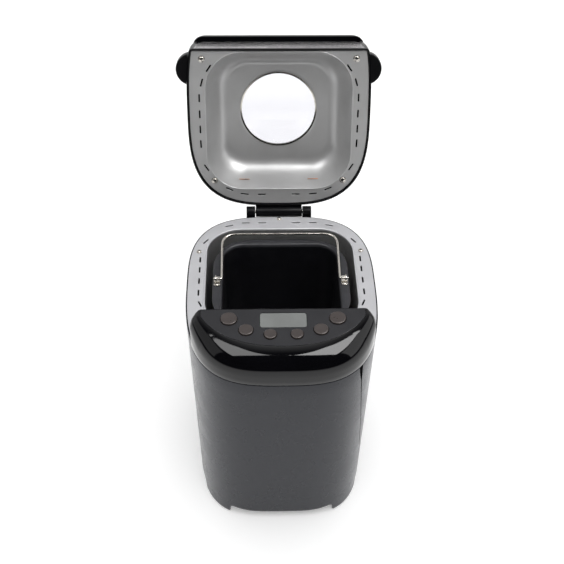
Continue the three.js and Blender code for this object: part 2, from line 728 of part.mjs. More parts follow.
function lidSolid(inset, low, high) {
  const leanIn = (z) => {
    const t = Math.max(0, (z - LID.shoulderStart) / (LID.height - LID.shoulderStart + 1));
    return LID.shoulder * (1 - Math.sqrt(1 - Math.min(1, t) ** 2));
  };
  const ring = (z, cut) => at(spokes(lidOutline(leanIn(z) + inset, cut, 4), LID_CENTRE), z);
  const front = LID.front + inset;
  const lip = LID.lipFront + inset;
  const step = LID.lipHeight + inset;
  return loft([
    ring(low, front),
    ring(LID.shoulderStart, front),
    ring(26, front),
    ring(step - 0.5, front),
    ring(step, lip),
    ring(43, lip),
    ring(high - 0.8, lip),
    at(spokes(lidOutline(leanIn(high - 0.8) + inset + 3, lip + 3, 4), LID_CENTRE), high),
  ]);
}

function lidDome() {
  const bottom = LID.hingeHeight;
  const hingeY = BODY.rear + LID.hingeBack;
  const arm = box(-HINGE.armHalfWidth, HINGE.armHalfWidth, 119.6, hingeY, bottom + 4, 20).add(
    rod(HINGE.radius, -HINGE.armHalfWidth, HINGE.armHalfWidth, hingeY, LID.hingeHeight),
  );
  const inside = lidSolid(LID.wall, bottom - 3, lidTop - LID.wall);
  return lidSolid(0, bottom, lidTop)
    .subtract(inside)
    .subtract(disc(WINDOW.radius + 3, 30, 60, 0, WINDOW.centre, 36))
    .subtract(disc(WINDOW.radius + 5.4, lidTop - 1.6, 60, 0, WINDOW.centre, 36))
    .subtract(box(-130, 130, LID.front - 1, -77, -5, bottom + 1.8))
    .subtract(stripShape(GAP, LID.front - 2, LID.front + STRIP.thickness + GAP))
    .add(arm)
    .subtract(rod(HINGE.pin + GAP, -60, 60, hingeY, LID.hingeHeight));
}

// The flat band across the lid's front, with its upper corners rounded off.
function stripShape(grow, near, far) {
  const w = STRIP.halfWidth + grow;
  const low = STRIP.low - grow;
  const high = STRIP.high + grow;
  const shape = new THREE.Shape()
    .moveTo(-w, low)
    .lineTo(w, low)
    .quadraticCurveTo(w - 1, high, w - STRIP.cornerWidth, high)
    .lineTo(-w + STRIP.cornerWidth, high)
    .quadraticCurveTo(-w + 1, high, -w, low);
  return slab(shape, 0, far - near, 8).rotate([90, 0, 0]).translate([0, far, 0]);
}

const LID_SLOTS = [
  ...[-1, 1].flatMap((side) => [
    [side * 21.8, 14.8, 0],
    [side * 43.8, 15.4, side * -6],
    [side * 63, 22.2, side * -24],
    [side * 91.4, 51.5, side * -58],
    [side * 97.5, 83.1, side * -88],
    [side * 97.7, 102.1, side * -89],
    [side * 97.8, 121.7, 90],
    [side * 97.8, 142.1, side * 89],
    [side * 94.4, 161.5, side * 74],
    [side * 85.4, 179.2, side * 56],
  ]),
];
const LID_SCREWS = [
  [-93.6, 190.8],
  [93.6, 190.8],
  [-81.6, 34.5],
  [81.6, 34.5],
];
const fromRear = (s) => BODY.rear - s;

// The dish's outline part of the way from its mouth to its floor, and its height there.
function dishAt(share) {
  const mix = (key) => THREE.MathUtils.lerp(DISH[key], DISH_FLOOR[key], share);
  return { halfWidth: mix("halfWidth"), rear: mix("rear"), front: mix("front"), radius: mix("radius") };
}
const dishHeight = (share, low, top) => low + (top - low) * (1 - (1 - share) ** 2.2);

function lidLiner() {
  const low = LID.hingeHeight + LID.linerRecess;
  const inset = LID.wall + GAP;
  const outline = spokes(lidOutline(inset, LID.front + inset, 4), LID_CENTRE);
  const flange = slab(shapeOf(outline), low, low + DISH.wall);
  const top = LID.hingeHeight + DISH.depth;
  const curve = [0, 0.08, 0.2, 0.36, 0.56, 0.78, 1];
  const ringAt = (share, grow, height) => at(around(dishAt(share), grow), dishHeight(share, low, height));
  const outer = loft(curve.map((share) => ringAt(share, DISH.wall, top + DISH.wall)));
  const inner = loft([
    at(around(DISH, 0), low - 1),
    ...curve.map((share) => ringAt(share, 0, top)),
  ]);
  let liner = flange.add(outer).subtract(inner);
  liner = liner.subtract(disc(WINDOW.radius, top - 5, top + 5, 0, WINDOW.centre, 36));
  for (const [x, s, angle] of LID_SLOTS) {
    liner = liner.subtract(slotCutter(x, fromRear(s), angle, low - 5, low + 5));
  }
  for (const [x, s] of LID_SCREWS) {
    liner = liner.subtract(screwHole(x, fromRear(s), low - 5, low + 5));
  }
  return liner;
}

const lidScrew = (x, s) =>
  screw(x, fromRear(s), 0, 4.2)
    .mirror([0, 0, 1])
    .translate([0, 0, LID.hingeHeight + LID.linerRecess]);

const windowDisc = (radius, low, high) => disc(radius, low, high, 0, WINDOW.centre, 36);
const linerTop = LID.hingeHeight + DISH.depth + DISH.wall;

const innerPane = () => windowDisc(WINDOW.radius + 3.5, linerTop + GAP, linerTop + GAP + 2.4);

function windowGasket() {
  const low = linerTop + 2.4 + GAP * 2;
  return windowDisc(WINDOW.radius + 3.5, low, low + 3.4).subtract(
    windowDisc(WINDOW.radius + 0.6, low - 1, low + 4.4),
  );
}

const outerPane = () => windowDisc(WINDOW.radius + 5, lidTop - 1.6 + GAP, lidTop + 0.6);

function sideGrip(side) {
  const half = disc(GRIP.radius, GRIP.low, GRIP.high, side * GRIP.x, GRIP.y, 36);
  return half.subtract(lidSolid(-GAP, LID.hingeHeight, lidTop)).subtract(box(-100, 100, -90, 0, 0, 60));
}

// ---------------------------------------------------------------- hinge on the body
function hingeKnuckle(side) {
  const y = BODY.rear + LID.hingeBack;
  const x0 = HINGE.armHalfWidth + GAP * 2;
  const barrel = rod(HINGE.radius, x0, HINGE.knuckleHalfWidth, y, LID.hingeHeight);
  const web = box(x0, HINGE.knuckleHalfWidth, BODY.rear - 0.5, y + HINGE.radius, -26, LID.hingeHeight);
  const made = barrel.add(web).subtract(rod(HINGE.pin + GAP, 20, 40, y, LID.hingeHeight));
  const clear = bodySolid(-GAP, [-60, 5]);
  return (side > 0 ? made : made.mirror([1, 0, 0])).subtract(clear);
}

const hingePin = () => rod(HINGE.pin, -39.6, 39.6, BODY.rear + LID.hingeBack, LID.hingeHeight, 16);

// ---------------------------------------------------------------- the assembly
add("outer_shell", outerShell(), bodyPaint());
add("base_plate", basePlate(), satinBlack());
for (const [end, word] of [[-1, "front"], [1, "rear"]]) {
  add(`foot_${word}_left`, foot(-1, end), rubber());
  add(`foot_${word}_right`, foot(1, end), rubber());
}
add("power_inlet", inletGland(), satinBlack());
add("rim_plate", rimPlate(), silver());
RIM_SCREWS.forEach(([x, y], i) => add(`rim_screw_${i + 1}`, screw(x, y, 0, 3.3), steel()));
add("chamber", chamber(), silver());
add("heater", heater(), steel());
add("temperature_probe", temperatureProbe(), steel());
add("pan_socket", panSocket(), silver());
add("bearing_housing", bearingHousing(), silver());
add("chassis", chassis(), silver());
add("motor", motorBody(), steel());
add("motor_shaft", motorShaft(), steel());
add("drive_shaft", driveShaft(), satinBlack());
add("belt", belt(), rubber());
add("power_board", powerBoard(), finish(0x2c5d3a, 0.6, 0));
add("control_cap", controlCap(), glossBlack());
add("control_panel", controlPanel(), satinBlack());
add("display_lens", displayLens(), finish(0x848a84, 0.2, 0));
add("control_board", controlBoard(), finish(0x2c5d3a, 0.6, 0));
eachButton((item, side) =>
  add(`button_${side < 0 ? "left" : "right"}_${item.name}`, button(item, side), finish(0x6b615b, 0.4, 0.3)),
);
add("hinge_knuckle_left", hingeKnuckle(-1), satinBlack());
add("hinge_knuckle_right", hingeKnuckle(1), satinBlack());
add("hinge_pin", hingePin(), steel());
add("pan", pan(), nonStick());
add("pan_foot", panFoot(), nonStick());
add("pan_bracket_left", panBracket(-1), steel());
add("pan_bracket_right", panBracket(1), steel());
add("bail", bail(), steel());
add("pan_spindle", panSpindle(), steel());
add("paddle", paddle(), nonStick());

add("lid_dome", lidDome(), glossBlack(), lidGroup);
add("lid_liner", lidLiner(), silver(), lidGroup);
add("lid_strip", stripShape(0, LID.front, LID.front + STRIP.thickness), silver(), lidGroup);
LID_SCREWS.forEach(([x, s], i) => add(`lid_screw_${i + 1}`, lidScrew(x, s), steel(), lidGroup));
add("window_inner_pane", innerPane(), glass(), lidGroup);
add("window_gasket", windowGasket(), rubber(), lidGroup);
add("window_outer_pane", outerPane(), glass(), lidGroup);
add("side_grip_left", sideGrip(-1), glossBlack(), lidGroup);
add("side_grip_right", sideGrip(1), glossBlack(), lidGroup);

const bounds = new THREE.Box3().setFromObject(machine);
const middle = bounds.getCenter(new THREE.Vector3());
machine.position.set(-middle.x, -middle.y, -bounds.min.z);

const group = new THREE.Group();
group.add(machine);
export default group;
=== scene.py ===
# The bread machine's finished look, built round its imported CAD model: smooth skins, sheet-metal detail,
# procedural finishes, a pale floor and soft studio light. Sizes are millimetres in the rim plate's frame.
import math

import bmesh
import bpy
import numpy as np
from mathutils import Matrix, Vector
from mathutils.geometry import tessellate_polygon


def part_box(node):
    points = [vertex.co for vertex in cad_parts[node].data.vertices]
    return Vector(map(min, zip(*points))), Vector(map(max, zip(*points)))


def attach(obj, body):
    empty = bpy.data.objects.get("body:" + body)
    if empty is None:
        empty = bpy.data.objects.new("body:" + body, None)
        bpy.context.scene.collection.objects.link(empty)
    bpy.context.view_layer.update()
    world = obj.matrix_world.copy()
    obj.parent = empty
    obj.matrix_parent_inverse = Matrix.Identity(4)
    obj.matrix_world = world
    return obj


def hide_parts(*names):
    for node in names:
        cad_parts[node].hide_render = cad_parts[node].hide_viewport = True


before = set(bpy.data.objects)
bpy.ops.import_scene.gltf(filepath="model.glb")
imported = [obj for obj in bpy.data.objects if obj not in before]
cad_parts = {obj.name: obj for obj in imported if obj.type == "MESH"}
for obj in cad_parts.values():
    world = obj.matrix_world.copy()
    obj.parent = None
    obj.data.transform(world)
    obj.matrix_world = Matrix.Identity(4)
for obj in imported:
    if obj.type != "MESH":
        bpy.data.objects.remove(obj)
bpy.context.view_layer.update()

# ---------------------------------------- the rim plate's frame
MM = 0.001
PAN_CENTRE = 7.4
SIDES = ((-1, "left"), (1, "right"))
pan_low, pan_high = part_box("pan")
shell_low, shell_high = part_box("outer_shell")
pan_middle = (pan_low[1] + pan_high[1]) / 2
ORIGIN = Vector(((shell_low[0] + shell_high[0]) / 2, pan_middle - PAN_CENTRE * MM, shell_high[2]))
HINGE_Y, HINGE_Z = 130.2, 1.0
HINGE = Vector((0.0, HINGE_Y, HINGE_Z))
OPEN = math.radians(-105.5)
TO_WORLD = Matrix.Translation(ORIGIN) @ Matrix.Scale(MM, 4)
TO_LID = TO_WORLD @ Matrix.Translation(HINGE) @ Matrix.Rotation(OPEN, 4, "X") @ Matrix.Translation(-HINGE)

# The body's oval: half its width, its reach to the rear and to the front, and how square it is. The base
# has shares of the width and of the front reach, and is a little squarer.
HALF, REAR, FRONT, POWER = 113.0, 122.0, 158.5, 3.05
BASE_WIDTH, BASE_FRONT, BASE_POWER, TABLE = 0.935, 0.9, 3.4, -281.0


def moved(x, y, z):
    return Matrix.Translation((x, y, z))


def turned(degrees, axis):
    return Matrix.Rotation(math.radians(degrees), 4, axis)


# ---------------------------------------- outlines
def power(value, exponent):
    return np.sign(value) * np.abs(value) ** exponent


def oval(turns, half=HALF, rear=REAR, front=FRONT, exponent=POWER):
    x = half * power(np.cos(turns), 2 / exponent)
    reach = np.where(np.sin(turns) > 0, rear, front)
    return np.stack([x, reach * power(np.sin(turns), 2 / exponent)], axis=1)


def even_turns(count):
    """Turn parameters that space points evenly round the oval."""
    fine = np.linspace(0, 2 * math.pi, 20001)
    points = oval(fine)
    length = np.concatenate([[0], np.cumsum(np.linalg.norm(np.diff(points, axis=0), axis=1))])
    return np.interp(np.arange(count) / count * length[-1], length, fine)


def rounded(x0, x1, y0, y1, radius, corner=12, straight=6):
    """A rectangle with round corners, anticlockwise, the same number of points whatever its size."""
    points = []
    spots = [(x1 - radius, y0 + radius, -90), (x1 - radius, y1 - radius, 0),
             (x0 + radius, y1 - radius, 90), (x0 + radius, y0 + radius, 180)]
    for index, (cx, cy, start) in enumerate(spots):
        for step in range(corner + 1):
            angle = math.radians(start + 90 * step / corner)
            points.append((cx + radius * math.cos(angle), cy + radius * math.sin(angle)))
        nx, ny, turn = spots[(index + 1) % 4]
        angle = math.radians(turn)
        end = (nx + radius * math.cos(angle), ny + radius * math.sin(angle))
        begin = points[-1]
        for step in range(1, straight):
            share = step / straight
            points.append((begin[0] + (end[0] - begin[0]) * share, begin[1] + (end[1] - begin[1]) * share))
    return np.array(points)


def grown(points, amount):
    """A closed anticlockwise outline moved outwards along its own normals."""
    before, after = np.roll(points, 1, axis=0), np.roll(points, -1, axis=0)
    tangent = after - before
    tangent /= np.maximum(np.linalg.norm(tangent, axis=1, keepdims=True), 1e-9)
    return points + amount * np.stack([tangent[:, 1], -tangent[:, 0]], axis=1)


def cut_oval(inset, cut, corner, keep_front, count=480):
    """The part of the body's oval before or behind a straight cut, with round corners at the cut."""
    sign = -1 if keep_front else 1
    fine = oval(np.linspace(0, 2 * math.pi, 4801)[:-1], HALF - inset, REAR - inset, FRONT - inset)
    kept = fine[sign * (fine[:, 1] - cut) > corner]
    jump = np.argmax(np.linalg.norm(kept - np.roll(kept, 1, axis=0), axis=1))
    run = np.roll(kept, -jump, axis=0)
    angles = np.radians(np.linspace(0, 90, 13))

    def bow(p, turns):
        x = p[0] - np.sign(p[0]) * corner * (1 - np.cos(turns))
        return np.stack([x, cut + sign * corner * (1 - np.sin(turns))], axis=1)

    whole = np.concatenate([run, bow(run[-1], angles[1:]), bow(run[0], angles[::-1][:-1])])
    return resample(whole, count)


def resample(points, count):
    closed = np.concatenate([points, points[:1]])
    length = np.concatenate([[0], np.cumsum(np.linalg.norm(np.diff(closed, axis=0), axis=1))])
    where = np.arange(count) / count * length[-1]
    return np.stack([np.interp(where, length, closed[:, i]) for i in range(2)], axis=1)


def spokes(points, centre, count):
    """Where evenly turned rays from a centre meet a closed outline."""
    a = points - centre
    b = np.roll(a, -1, axis=0)
    edge = b - a
    result = []
    for k in range(count):
        angle = (k + 0.5) / count * 2 * math.pi
        d = np.array([math.cos(angle), math.sin(angle)])
        cross = d[0] * edge[:, 1] - d[1] * edge[:, 0]
        safe = np.where(np.abs(cross) < 1e-12, 1e-12, cross)
        along = (a[:, 0] * edge[:, 1] - a[:, 1] * edge[:, 0]) / safe
        share = (a[:, 0] * d[1] - a[:, 1] * d[0]) / safe
        hit = (np.abs(cross) > 1e-12) & (share >= -1e-9) & (share <= 1 + 1e-9) & (along > 0)
        result.append(d * along[hit].max() + centre)
    return np.array(result)


def slot_outline(x, y, angle, length=10.5, width=2.0):
    half, r = length / 2 - width / 2, width / 2
    points = []
    for side, start in ((1, -90), (-1, 90)):
        for step in range(7):
            turn = math.radians(start + 180 * step / 6)
            points.append((side * half + r * math.cos(turn), r * math.sin(turn)))
    c, s = math.cos(math.radians(angle)), math.sin(math.radians(angle))
    return np.array([(x + px * c - py * s, y + px * s + py * c) for px, py in points])


def circle(x, y, rx, ry=None, count=48):
    ry = rx if ry is None else ry
    return np.array([(x + rx * math.cos(2 * math.pi * i / count), y + ry * math.sin(2 * math.pi * i / count))
                     for i in range(count)])


# ---------------------------------------- meshes
def ring(points, z):
    heights = np.broadcast_to(np.asarray(z, dtype=float), (len(points),))
    return np.concatenate([points, heights[:, None]], axis=1)


def add_object(name, data):
    made = bpy.data.objects.new(name, data)
    bpy.context.scene.collection.objects.link(made)
    return made


class Shape:
    """Vertices and faces gathered in millimetres before they become one object."""

    def __init__(self):
        self.verts, self.faces, self.flat = [], [], set()

    def add(self, verts, faces, matrix=None, flat=()):
        start = len(self.verts)
        self.flat |= {len(self.faces) + index for index in flat}
        for v in verts:
            v = Vector((float(v[0]), float(v[1]), float(v[2])))
            self.verts.append(matrix @ v if matrix else v)
        self.faces += [tuple(start + i for i in face) for face in faces]
        return self

    def loft(self, rings, low=False, high=False, closed=False, matrix=None):
        count = len(rings[0])
        faces = []
        last = len(rings) if closed else len(rings) - 1
        for r in range(last):
            a, b = r * count, ((r + 1) % len(rings)) * count
            for i in range(count):
                j = (i + 1) % count
                faces.append((a + i, a + j, b + j, b + i))
        if low:
            faces.append(tuple(reversed(range(count))))
        if high:
            top = (len(rings) - 1) * count
            faces.append(tuple(range(top, top + count)))
        return self.add(np.concatenate(rings), faces, matrix)

    def plate(self, outlines, low, high, bevel=0.3, steps=2, height=None, matrix=None):
        """A flat sheet with holes and rounded edges. height(x, y) lifts it onto a sloping surface."""
        rows = []
        for step in range(steps + 1):
            a = math.pi / 2 * step / steps
            rows.append((bevel * (1 - math.sin(a)), low + bevel * (1 - math.cos(a))))
        rows += [(inset, high + low - z) for inset, z in reversed(rows)]
        verts, faces, caps = [], [], ([], [])
        for index, outline in enumerate(outlines):
            pts = np.array(outline)
            nxt = np.roll(pts, -1, axis=0)
            area = np.sum(pts[:, 0] * nxt[:, 1] - nxt[:, 0] * pts[:, 1])
            if area < 0:
                pts = pts[::-1]
            count = len(pts)
            start = len(verts)
            for inset, z in rows:
                for x, y in grown(pts, -inset if index == 0 else inset):
                    verts.append((x, y, z + (height(x, y) if height else 0)))
            order = 1 if index == 0 else -1
            for r in range(len(rows) - 1):
                a, b = start + r * count, start + (r + 1) * count
                for i in range(count):
                    j = (i + 1) % count
                    quad = (a + i, a + j, b + j, b + i)
                    faces.append(quad if order > 0 else tuple(reversed(quad)))
            caps[0].append(list(range(start, start + count)))
            top = start + (len(rows) - 1) * count
            caps[1].append(list(range(top, top + count)))
        walls = len(faces)
        for side, loops in enumerate(caps):
            flat = [[Vector((verts[i][0], verts[i][1], 0)) for i in loop] for loop in loops]
            index_of = [i for loop in loops for i in loop]
            for tri in tessellate_polygon(flat):
                a, b, c = (index_of[i] for i in tri)
                (ax, ay), (bx, by), (cx, cy) = (verts[i][:2] for i in (a, b, c))
                up = (bx - ax) * (cy - ay) - (by - ay) * (cx - ax) > 0
                faces.append((a, b, c) if up == (side == 1) else (a, c, b))
        return self.add(verts, faces, matrix, range(walls, len(faces)))

    def lathe(self, profile, count=48, matrix=None):
        """A turned form round Z. The profile is (radius, z) and runs so that its left side is outside."""
        rings = [ring(circle(0, 0, max(r, 1e-4), count=count), z) for r, z in profile]
        return self.loft(rings, matrix=matrix)

    def tube(self, points, radius, sides):
        """A round bar along a path, with slightly drawn-in ends."""
        path = [Vector(p) for p in points]
        count = len(path)
        rings = []
        normal = None
        for i, p in enumerate(path):
            before = path[i - 1] if i > 0 else p
            after = path[i + 1] if i < count - 1 else p
            tangent = (after - before).normalized()
            if normal is None:
                normal = tangent.orthogonal().normalized()
            normal = (normal - tangent * normal.dot(tangent)).normalized()
            side = tangent.cross(normal)
            rings.append([p + radius * (normal * math.cos(t) + side * math.sin(t))
                          for t in (2 * math.pi * k / sides for k in range(sides))])
        first, last = rings[0], rings[-1]
        rings.insert(0, [path[0] + (v - path[0]) * 0.6 for v in first])
        rings.append([path[-1] + (v - path[-1]) * 0.6 for v in last])
        return self.loft([np.array([tuple(v) for v in r]) for r in rings], low=True, high=True)

    def build(self, name, finish, body, replaces=(), slot=None, to=TO_WORLD, angle=32, weld=1e-3):
        mesh = bpy.data.meshes.new(name)
        mesh.from_pydata([tuple(to @ v) for v in self.verts], [], self.faces)
        mesh.update()
        rounded_faces = [index not in self.flat for index in range(len(self.faces))]
        mesh.polygons.foreach_set("use_smooth", rounded_faces)
        welded = bmesh.new()
        welded.from_mesh(mesh)
        bmesh.ops.remove_doubles(welded, verts=welded.verts, dist=weld * MM)
        welded.to_mesh(mesh)
        smooth = [face.smooth for face in welded.faces]
        welded.free()
        mesh.set_sharp_from_angle(angle=math.radians(angle))
        mesh.polygons.foreach_set("use_smooth", smooth)
        mesh.validate()
        mesh.materials.append(finish.material)
        made = add_object(name, mesh)
        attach(made, body)
        if replaces:
            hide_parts(*replaces)
        return made


# ---------------------------------------- finishes
class Finish:
    """A material whose colour, roughness and bump come from procedural noise at a stated size."""

    def __init__(self, name, color, rough, metal=0.0, coat=0.0, coat_rough=0.1, ior=1.5, transmission=0.0):
        self.material = bpy.data.materials.new(name)
        self.material.use_nodes = True
        self.nodes = self.material.node_tree.nodes
        self.links = self.material.node_tree.links
        self.shader = self.nodes["Principled BSDF"]
        self.color, self.rough = color, rough
        s = self.shader.inputs
        s["Base Color"].default_value = (*color, 1)
        s["Roughness"].default_value = rough
        s["Metallic"].default_value = metal
        s["Coat Weight"].default_value = coat
        s["Coat Roughness"].default_value = coat_rough
        s["IOR"].default_value = ior
        s["Transmission Weight"].default_value = transmission
        self.where = self.nodes.new("ShaderNodeTexCoord").outputs["Object"]
        self.height = None

    def noise(self, size_mm, detail, stretch=(1, 1, 1)):
        mapping = self.nodes.new("ShaderNodeMapping")
        mapping.inputs["Scale"].default_value = stretch
        self.links.new(self.where, mapping.inputs["Vector"])
        made = self.nodes.new("ShaderNodeTexNoise")
        made.inputs["Scale"].default_value = 1000 / size_mm
        made.inputs["Detail"].default_value = detail
        self.links.new(mapping.outputs["Vector"], made.inputs["Vector"])
        return made.outputs["Fac"]

    def spread(self, value, low, high):
        made = self.nodes.new("ShaderNodeMapRange")
        made.inputs["From Min"].default_value = 0.3
        made.inputs["From Max"].default_value = 0.7
        made.inputs["To Min"].default_value = low
        made.inputs["To Max"].default_value = high
        self.links.new(value, made.inputs["Value"])
        return made.outputs["Result"]

    def mottle(self, size_mm, amount):
        """Colour that varies gently by the given share."""
        mix = self.nodes.new("ShaderNodeMix")
        mix.data_type = "RGBA"
        mix.inputs["A"].default_value = (*(c * (1 - amount) for c in self.color), 1)
        mix.inputs["B"].default_value = (*(min(1, c * (1 + amount)) for c in self.color), 1)
        self.links.new(self.spread(self.noise(size_mm, 4), 0, 1), mix.inputs["Factor"])
        self.links.new(mix.outputs["Result"], self.shader.inputs["Base Color"])
        self.tint = mix.outputs["Result"]
        return self

    def wear(self, color):
        """A lighter colour along worn edges, from how pointed the surface is."""
        point = self.nodes.new("ShaderNodeNewGeometry").outputs["Pointiness"]
        ramp = self.nodes.new("ShaderNodeMapRange")
        ramp.inputs["From Min"].default_value = 0.53
        ramp.inputs["From Max"].default_value = 0.62
        self.links.new(point, ramp.inputs["Value"])
        mix = self.nodes.new("ShaderNodeMix")
        mix.data_type = "RGBA"
        self.links.new(ramp.outputs["Result"], mix.inputs["Factor"])
        self.links.new(self.tint, mix.inputs["A"])
        mix.inputs["B"].default_value = (*color, 1)
        self.links.new(mix.outputs["Result"], self.shader.inputs["Base Color"])
        self.tint = mix.outputs["Result"]
        return self

    def smudge(self, size_mm, amount):
        """Roughness that varies about its own value."""
        low, high = max(0.02, self.rough - amount), min(1, self.rough + amount)
        varied = self.spread(self.noise(size_mm, 3), low, high)
        self.links.new(varied, self.shader.inputs["Roughness"])
        return self

    def grain(self, size_mm, depth_mm, stretch=(1, 1, 1)):
        bump = self.nodes.new("ShaderNodeBump")
        bump.inputs["Distance"].default_value = depth_mm * MM
        self.links.new(self.noise(size_mm, 2, stretch), bump.inputs["Height"])
        if self.height:
            self.links.new(self.height, bump.inputs["Normal"])
        self.height = bump.outputs["Normal"]
        self.links.new(self.height, self.shader.inputs["Normal"])
        return self


BODY = Finish("body_paint", (0.0092, 0.0095, 0.0125), 0.27, 0.1, coat=0.06, coat_rough=0.08, ior=1.45)
BODY.shader.inputs["Specular Tint"].default_value = (0.9, 0.93, 1.0, 1)
BODY.mottle(60, 0.06).smudge(25, 0.04).grain(0.6, 0.006).grain(40, 0.03)
GLOSS = Finish("gloss_black", (0.0022, 0.0022, 0.003), 0.06, ior=1.45)
GLOSS.mottle(40, 0.1).wear((0.008, 0.008, 0.009)).smudge(30, 0.02).grain(30, 0.01)
DARK = Finish("moulded_black", (0.0025, 0.0025, 0.0034), 0.34, ior=1.25)
DARK.mottle(12, 0.1).smudge(18, 0.05).grain(0.5, 0.008)
SATIN = Finish("satin_black", (0.012, 0.012, 0.014), 0.42)
SATIN.mottle(12, 0.1).smudge(18, 0.05).grain(0.5, 0.01)
PANEL = Finish("panel_satin", (0.0105, 0.0105, 0.0135), 0.36)
PANEL.mottle(20, 0.06).smudge(22, 0.04).grain(0.5, 0.006)
SILVER = Finish("silver_sheet", (0.57, 0.57, 0.59), 0.38, 0.45)
SILVER.mottle(35, 0.04).smudge(30, 0.05).grain(0.7, 0.006).grain(50, 0.03)
# Silver paint, set lighter than the rim's silver sheet to lift the shade the lip casts on it: partly the
# strip's own colour, partly painted light.
STRIP_WITH_PAINTED_LIGHT = Finish("silver_paint_with_painted_light", (0.80, 0.78, 0.80), 0.42, 0.3)
STRIP_WITH_PAINTED_LIGHT.mottle(30, 0.03).smudge(30, 0.03).grain(0.5, 0.004)
LINER = Finish("liner_sheet", (0.50, 0.50, 0.50), 0.34, 0.5)
LINER.mottle(35, 0.05).smudge(30, 0.04).grain(0.8, 0.006).grain(60, 0.015)
CHAMBER = Finish("chamber_sheet", (0.52, 0.52, 0.52), 0.36, 0.7)
CHAMBER.mottle(25, 0.12).wear((0.45, 0.45, 0.45)).smudge(18, 0.08).grain(0.9, 0.012, (1, 1, 0.12))
STEEL = Finish("bright_steel", (0.66, 0.63, 0.58), 0.2, 1.0)
STEEL.mottle(8, 0.05).wear((0.8, 0.78, 0.74)).smudge(6, 0.06).grain(0.4, 0.004)
COATING = Finish("non_stick", (0.006, 0.006, 0.008), 0.38)
COATING.mottle(10, 0.15).wear((0.02, 0.02, 0.022)).smudge(14, 0.07).grain(0.8, 0.02).grain(0.25, 0.006)
FLANGE = Finish("pan_rim_coating", (0.034, 0.034, 0.039), 0.4, 0.3)
FLANGE.mottle(10, 0.12).wear((0.07, 0.07, 0.07)).smudge(14, 0.06).grain(0.8, 0.02)
KEY = Finish("key_cap", (0.062, 0.051, 0.048), 0.32, 0.3)
KEY.mottle(6, 0.06).smudge(8, 0.05).grain(0.3, 0.004)
LCD = Finish("display_glass", (0.19, 0.198, 0.193), 0.12, coat=0.3, coat_rough=0.05)
LCD.mottle(22, 0.08).smudge(25, 0.03).grain(20, 0.004)
RUBBER = Finish("rubber", (0.02, 0.02, 0.021), 0.8)
RUBBER.mottle(4, 0.2).smudge(6, 0.1).grain(0.6, 0.03)
COPPER = Finish("copper_tint", (0.55, 0.24, 0.12), 0.3, 1.0)
COPPER.mottle(4, 0.1).smudge(4, 0.06).grain(0.5, 0.01)
BOARD = Finish("circuit_board", (0.03, 0.13, 0.06), 0.45, coat=0.3)
BOARD.mottle(5, 0.3).smudge(4, 0.1).grain(1.2, 0.05)
GLASS = Finish("window_glass", (0.93, 0.93, 0.95), 0.02, ior=1.45, transmission=1.0)
GLASS.smudge(40, 0.015).grain(60, 0.01)


# ---------------------------------------- body shell
ARCH_SIDE, ARCH_END, ARCH_MIDDLE = 67, 89, -6
SKIRT_LOW, ARCH_TOP = -270, -274.5


def shell_bottom(x, y):
    """Height of the skirt's lower edge: arches between four corner feet, with small round corners."""
    across = ARCH_SIDE - abs(x)
    along = ARCH_END - abs(y - ARCH_MIDDLE)
    best = TABLE
    for inside in (across, along):
        if inside > 7:
            best = max(best, SKIRT_LOW + 2.5 * max(0.0, 1 - (inside - 7) / 30) ** 2)
        elif inside > 0:
            best = max(best, ARCH_TOP + math.sqrt(49 - (7 - inside) ** 2))
    return best


def shell_ring(turns, z, inset):
    """The body's tapering oval at a height that may differ from point to point."""
    t = -z / 281.0
    narrowed = 1 + (BASE_WIDTH - 1) * t
    exponent = POWER + (BASE_POWER - POWER) * t
    x = HALF * narrowed * power(np.cos(turns), 2 / exponent)
    reach = np.where(np.sin(turns) > 0, REAR * narrowed, FRONT * (1 + (BASE_FRONT - 1) * t))
    y = reach * power(np.sin(turns), 2 / exponent)
    return ring(grown(np.stack([x, y], axis=1), -inset), z)


def outer_shell():
    turns = even_turns(760)
    at_skirt = shell_ring(turns, np.full(len(turns), -270.0), 0)
    low = np.array([shell_bottom(x, y) for x, y, _ in at_skirt])
    high = np.where(oval(turns)[:, 1] < -97.0, -10.0, 0.0)
    # Each row is a share of the way down, an inset and a drop: rolled top edge, wall, hem and inner face.
    rows = [(0.0, 1.5, 0.2), (0.0, 1.0, 0.3), (0.0, 0.45, 0.6), (0.0, 0.1, 1.1), (0.0, 0.0, 1.7)]
    rows += [(k / 12, 0.0, 0.0) for k in range(1, 12)] + [(0.985, 0.0, 0.0)]
    rows += [(1.0, 0.0, -0.8), (1.0, 0.15, -0.25), (1.0, 0.6, 0.0)]
    rows += [(1.0, 1.7, 0.0), (1.0, 2.2, -0.25), (1.0, 2.4, -0.8)]
    rows += [(share, 2.4, 0.0) for share in (0.9, 0.5, 0.1)]
    rings = [shell_ring(turns, high + (low - high) * share - drop, inset) for share, inset, drop in rows]
    made = Shape().loft(rings[::-1], closed=True).build(
        "shell_skin", BODY, "base", ["outer_shell"], "body_paint", angle=40)

    facing_back = moved(0, 130, 0) @ turned(90, "X")
    louvres = [rounded(-38, 38, -84 - i * 11, -79 - i * 11, 2.4, 6, 8) for i in range(5)]
    for outline in louvres + [rounded(-16, 16, -246, -232, 3, 6, 4)]:
        cut(made, Shape().plate([outline], 0, 35, 0.01, 1, matrix=facing_back))
    facing_front = moved(0, -92, 0) @ turned(90, "X")
    joint_inner = [(84.6, -11), (85.9, -22), (88.4, -38), (91.0, -75), (94.2, -125), (97.5, -190)]
    joint_outer = [(98.2, -190), (94.9, -125), (91.8, -75), (89.5, -38)]
    joint = [(88.9, -11), *joint_inner, *joint_outer]
    cut(made, Shape().plate([np.array(joint)], 0, 60, 0.01, 1, matrix=facing_front))


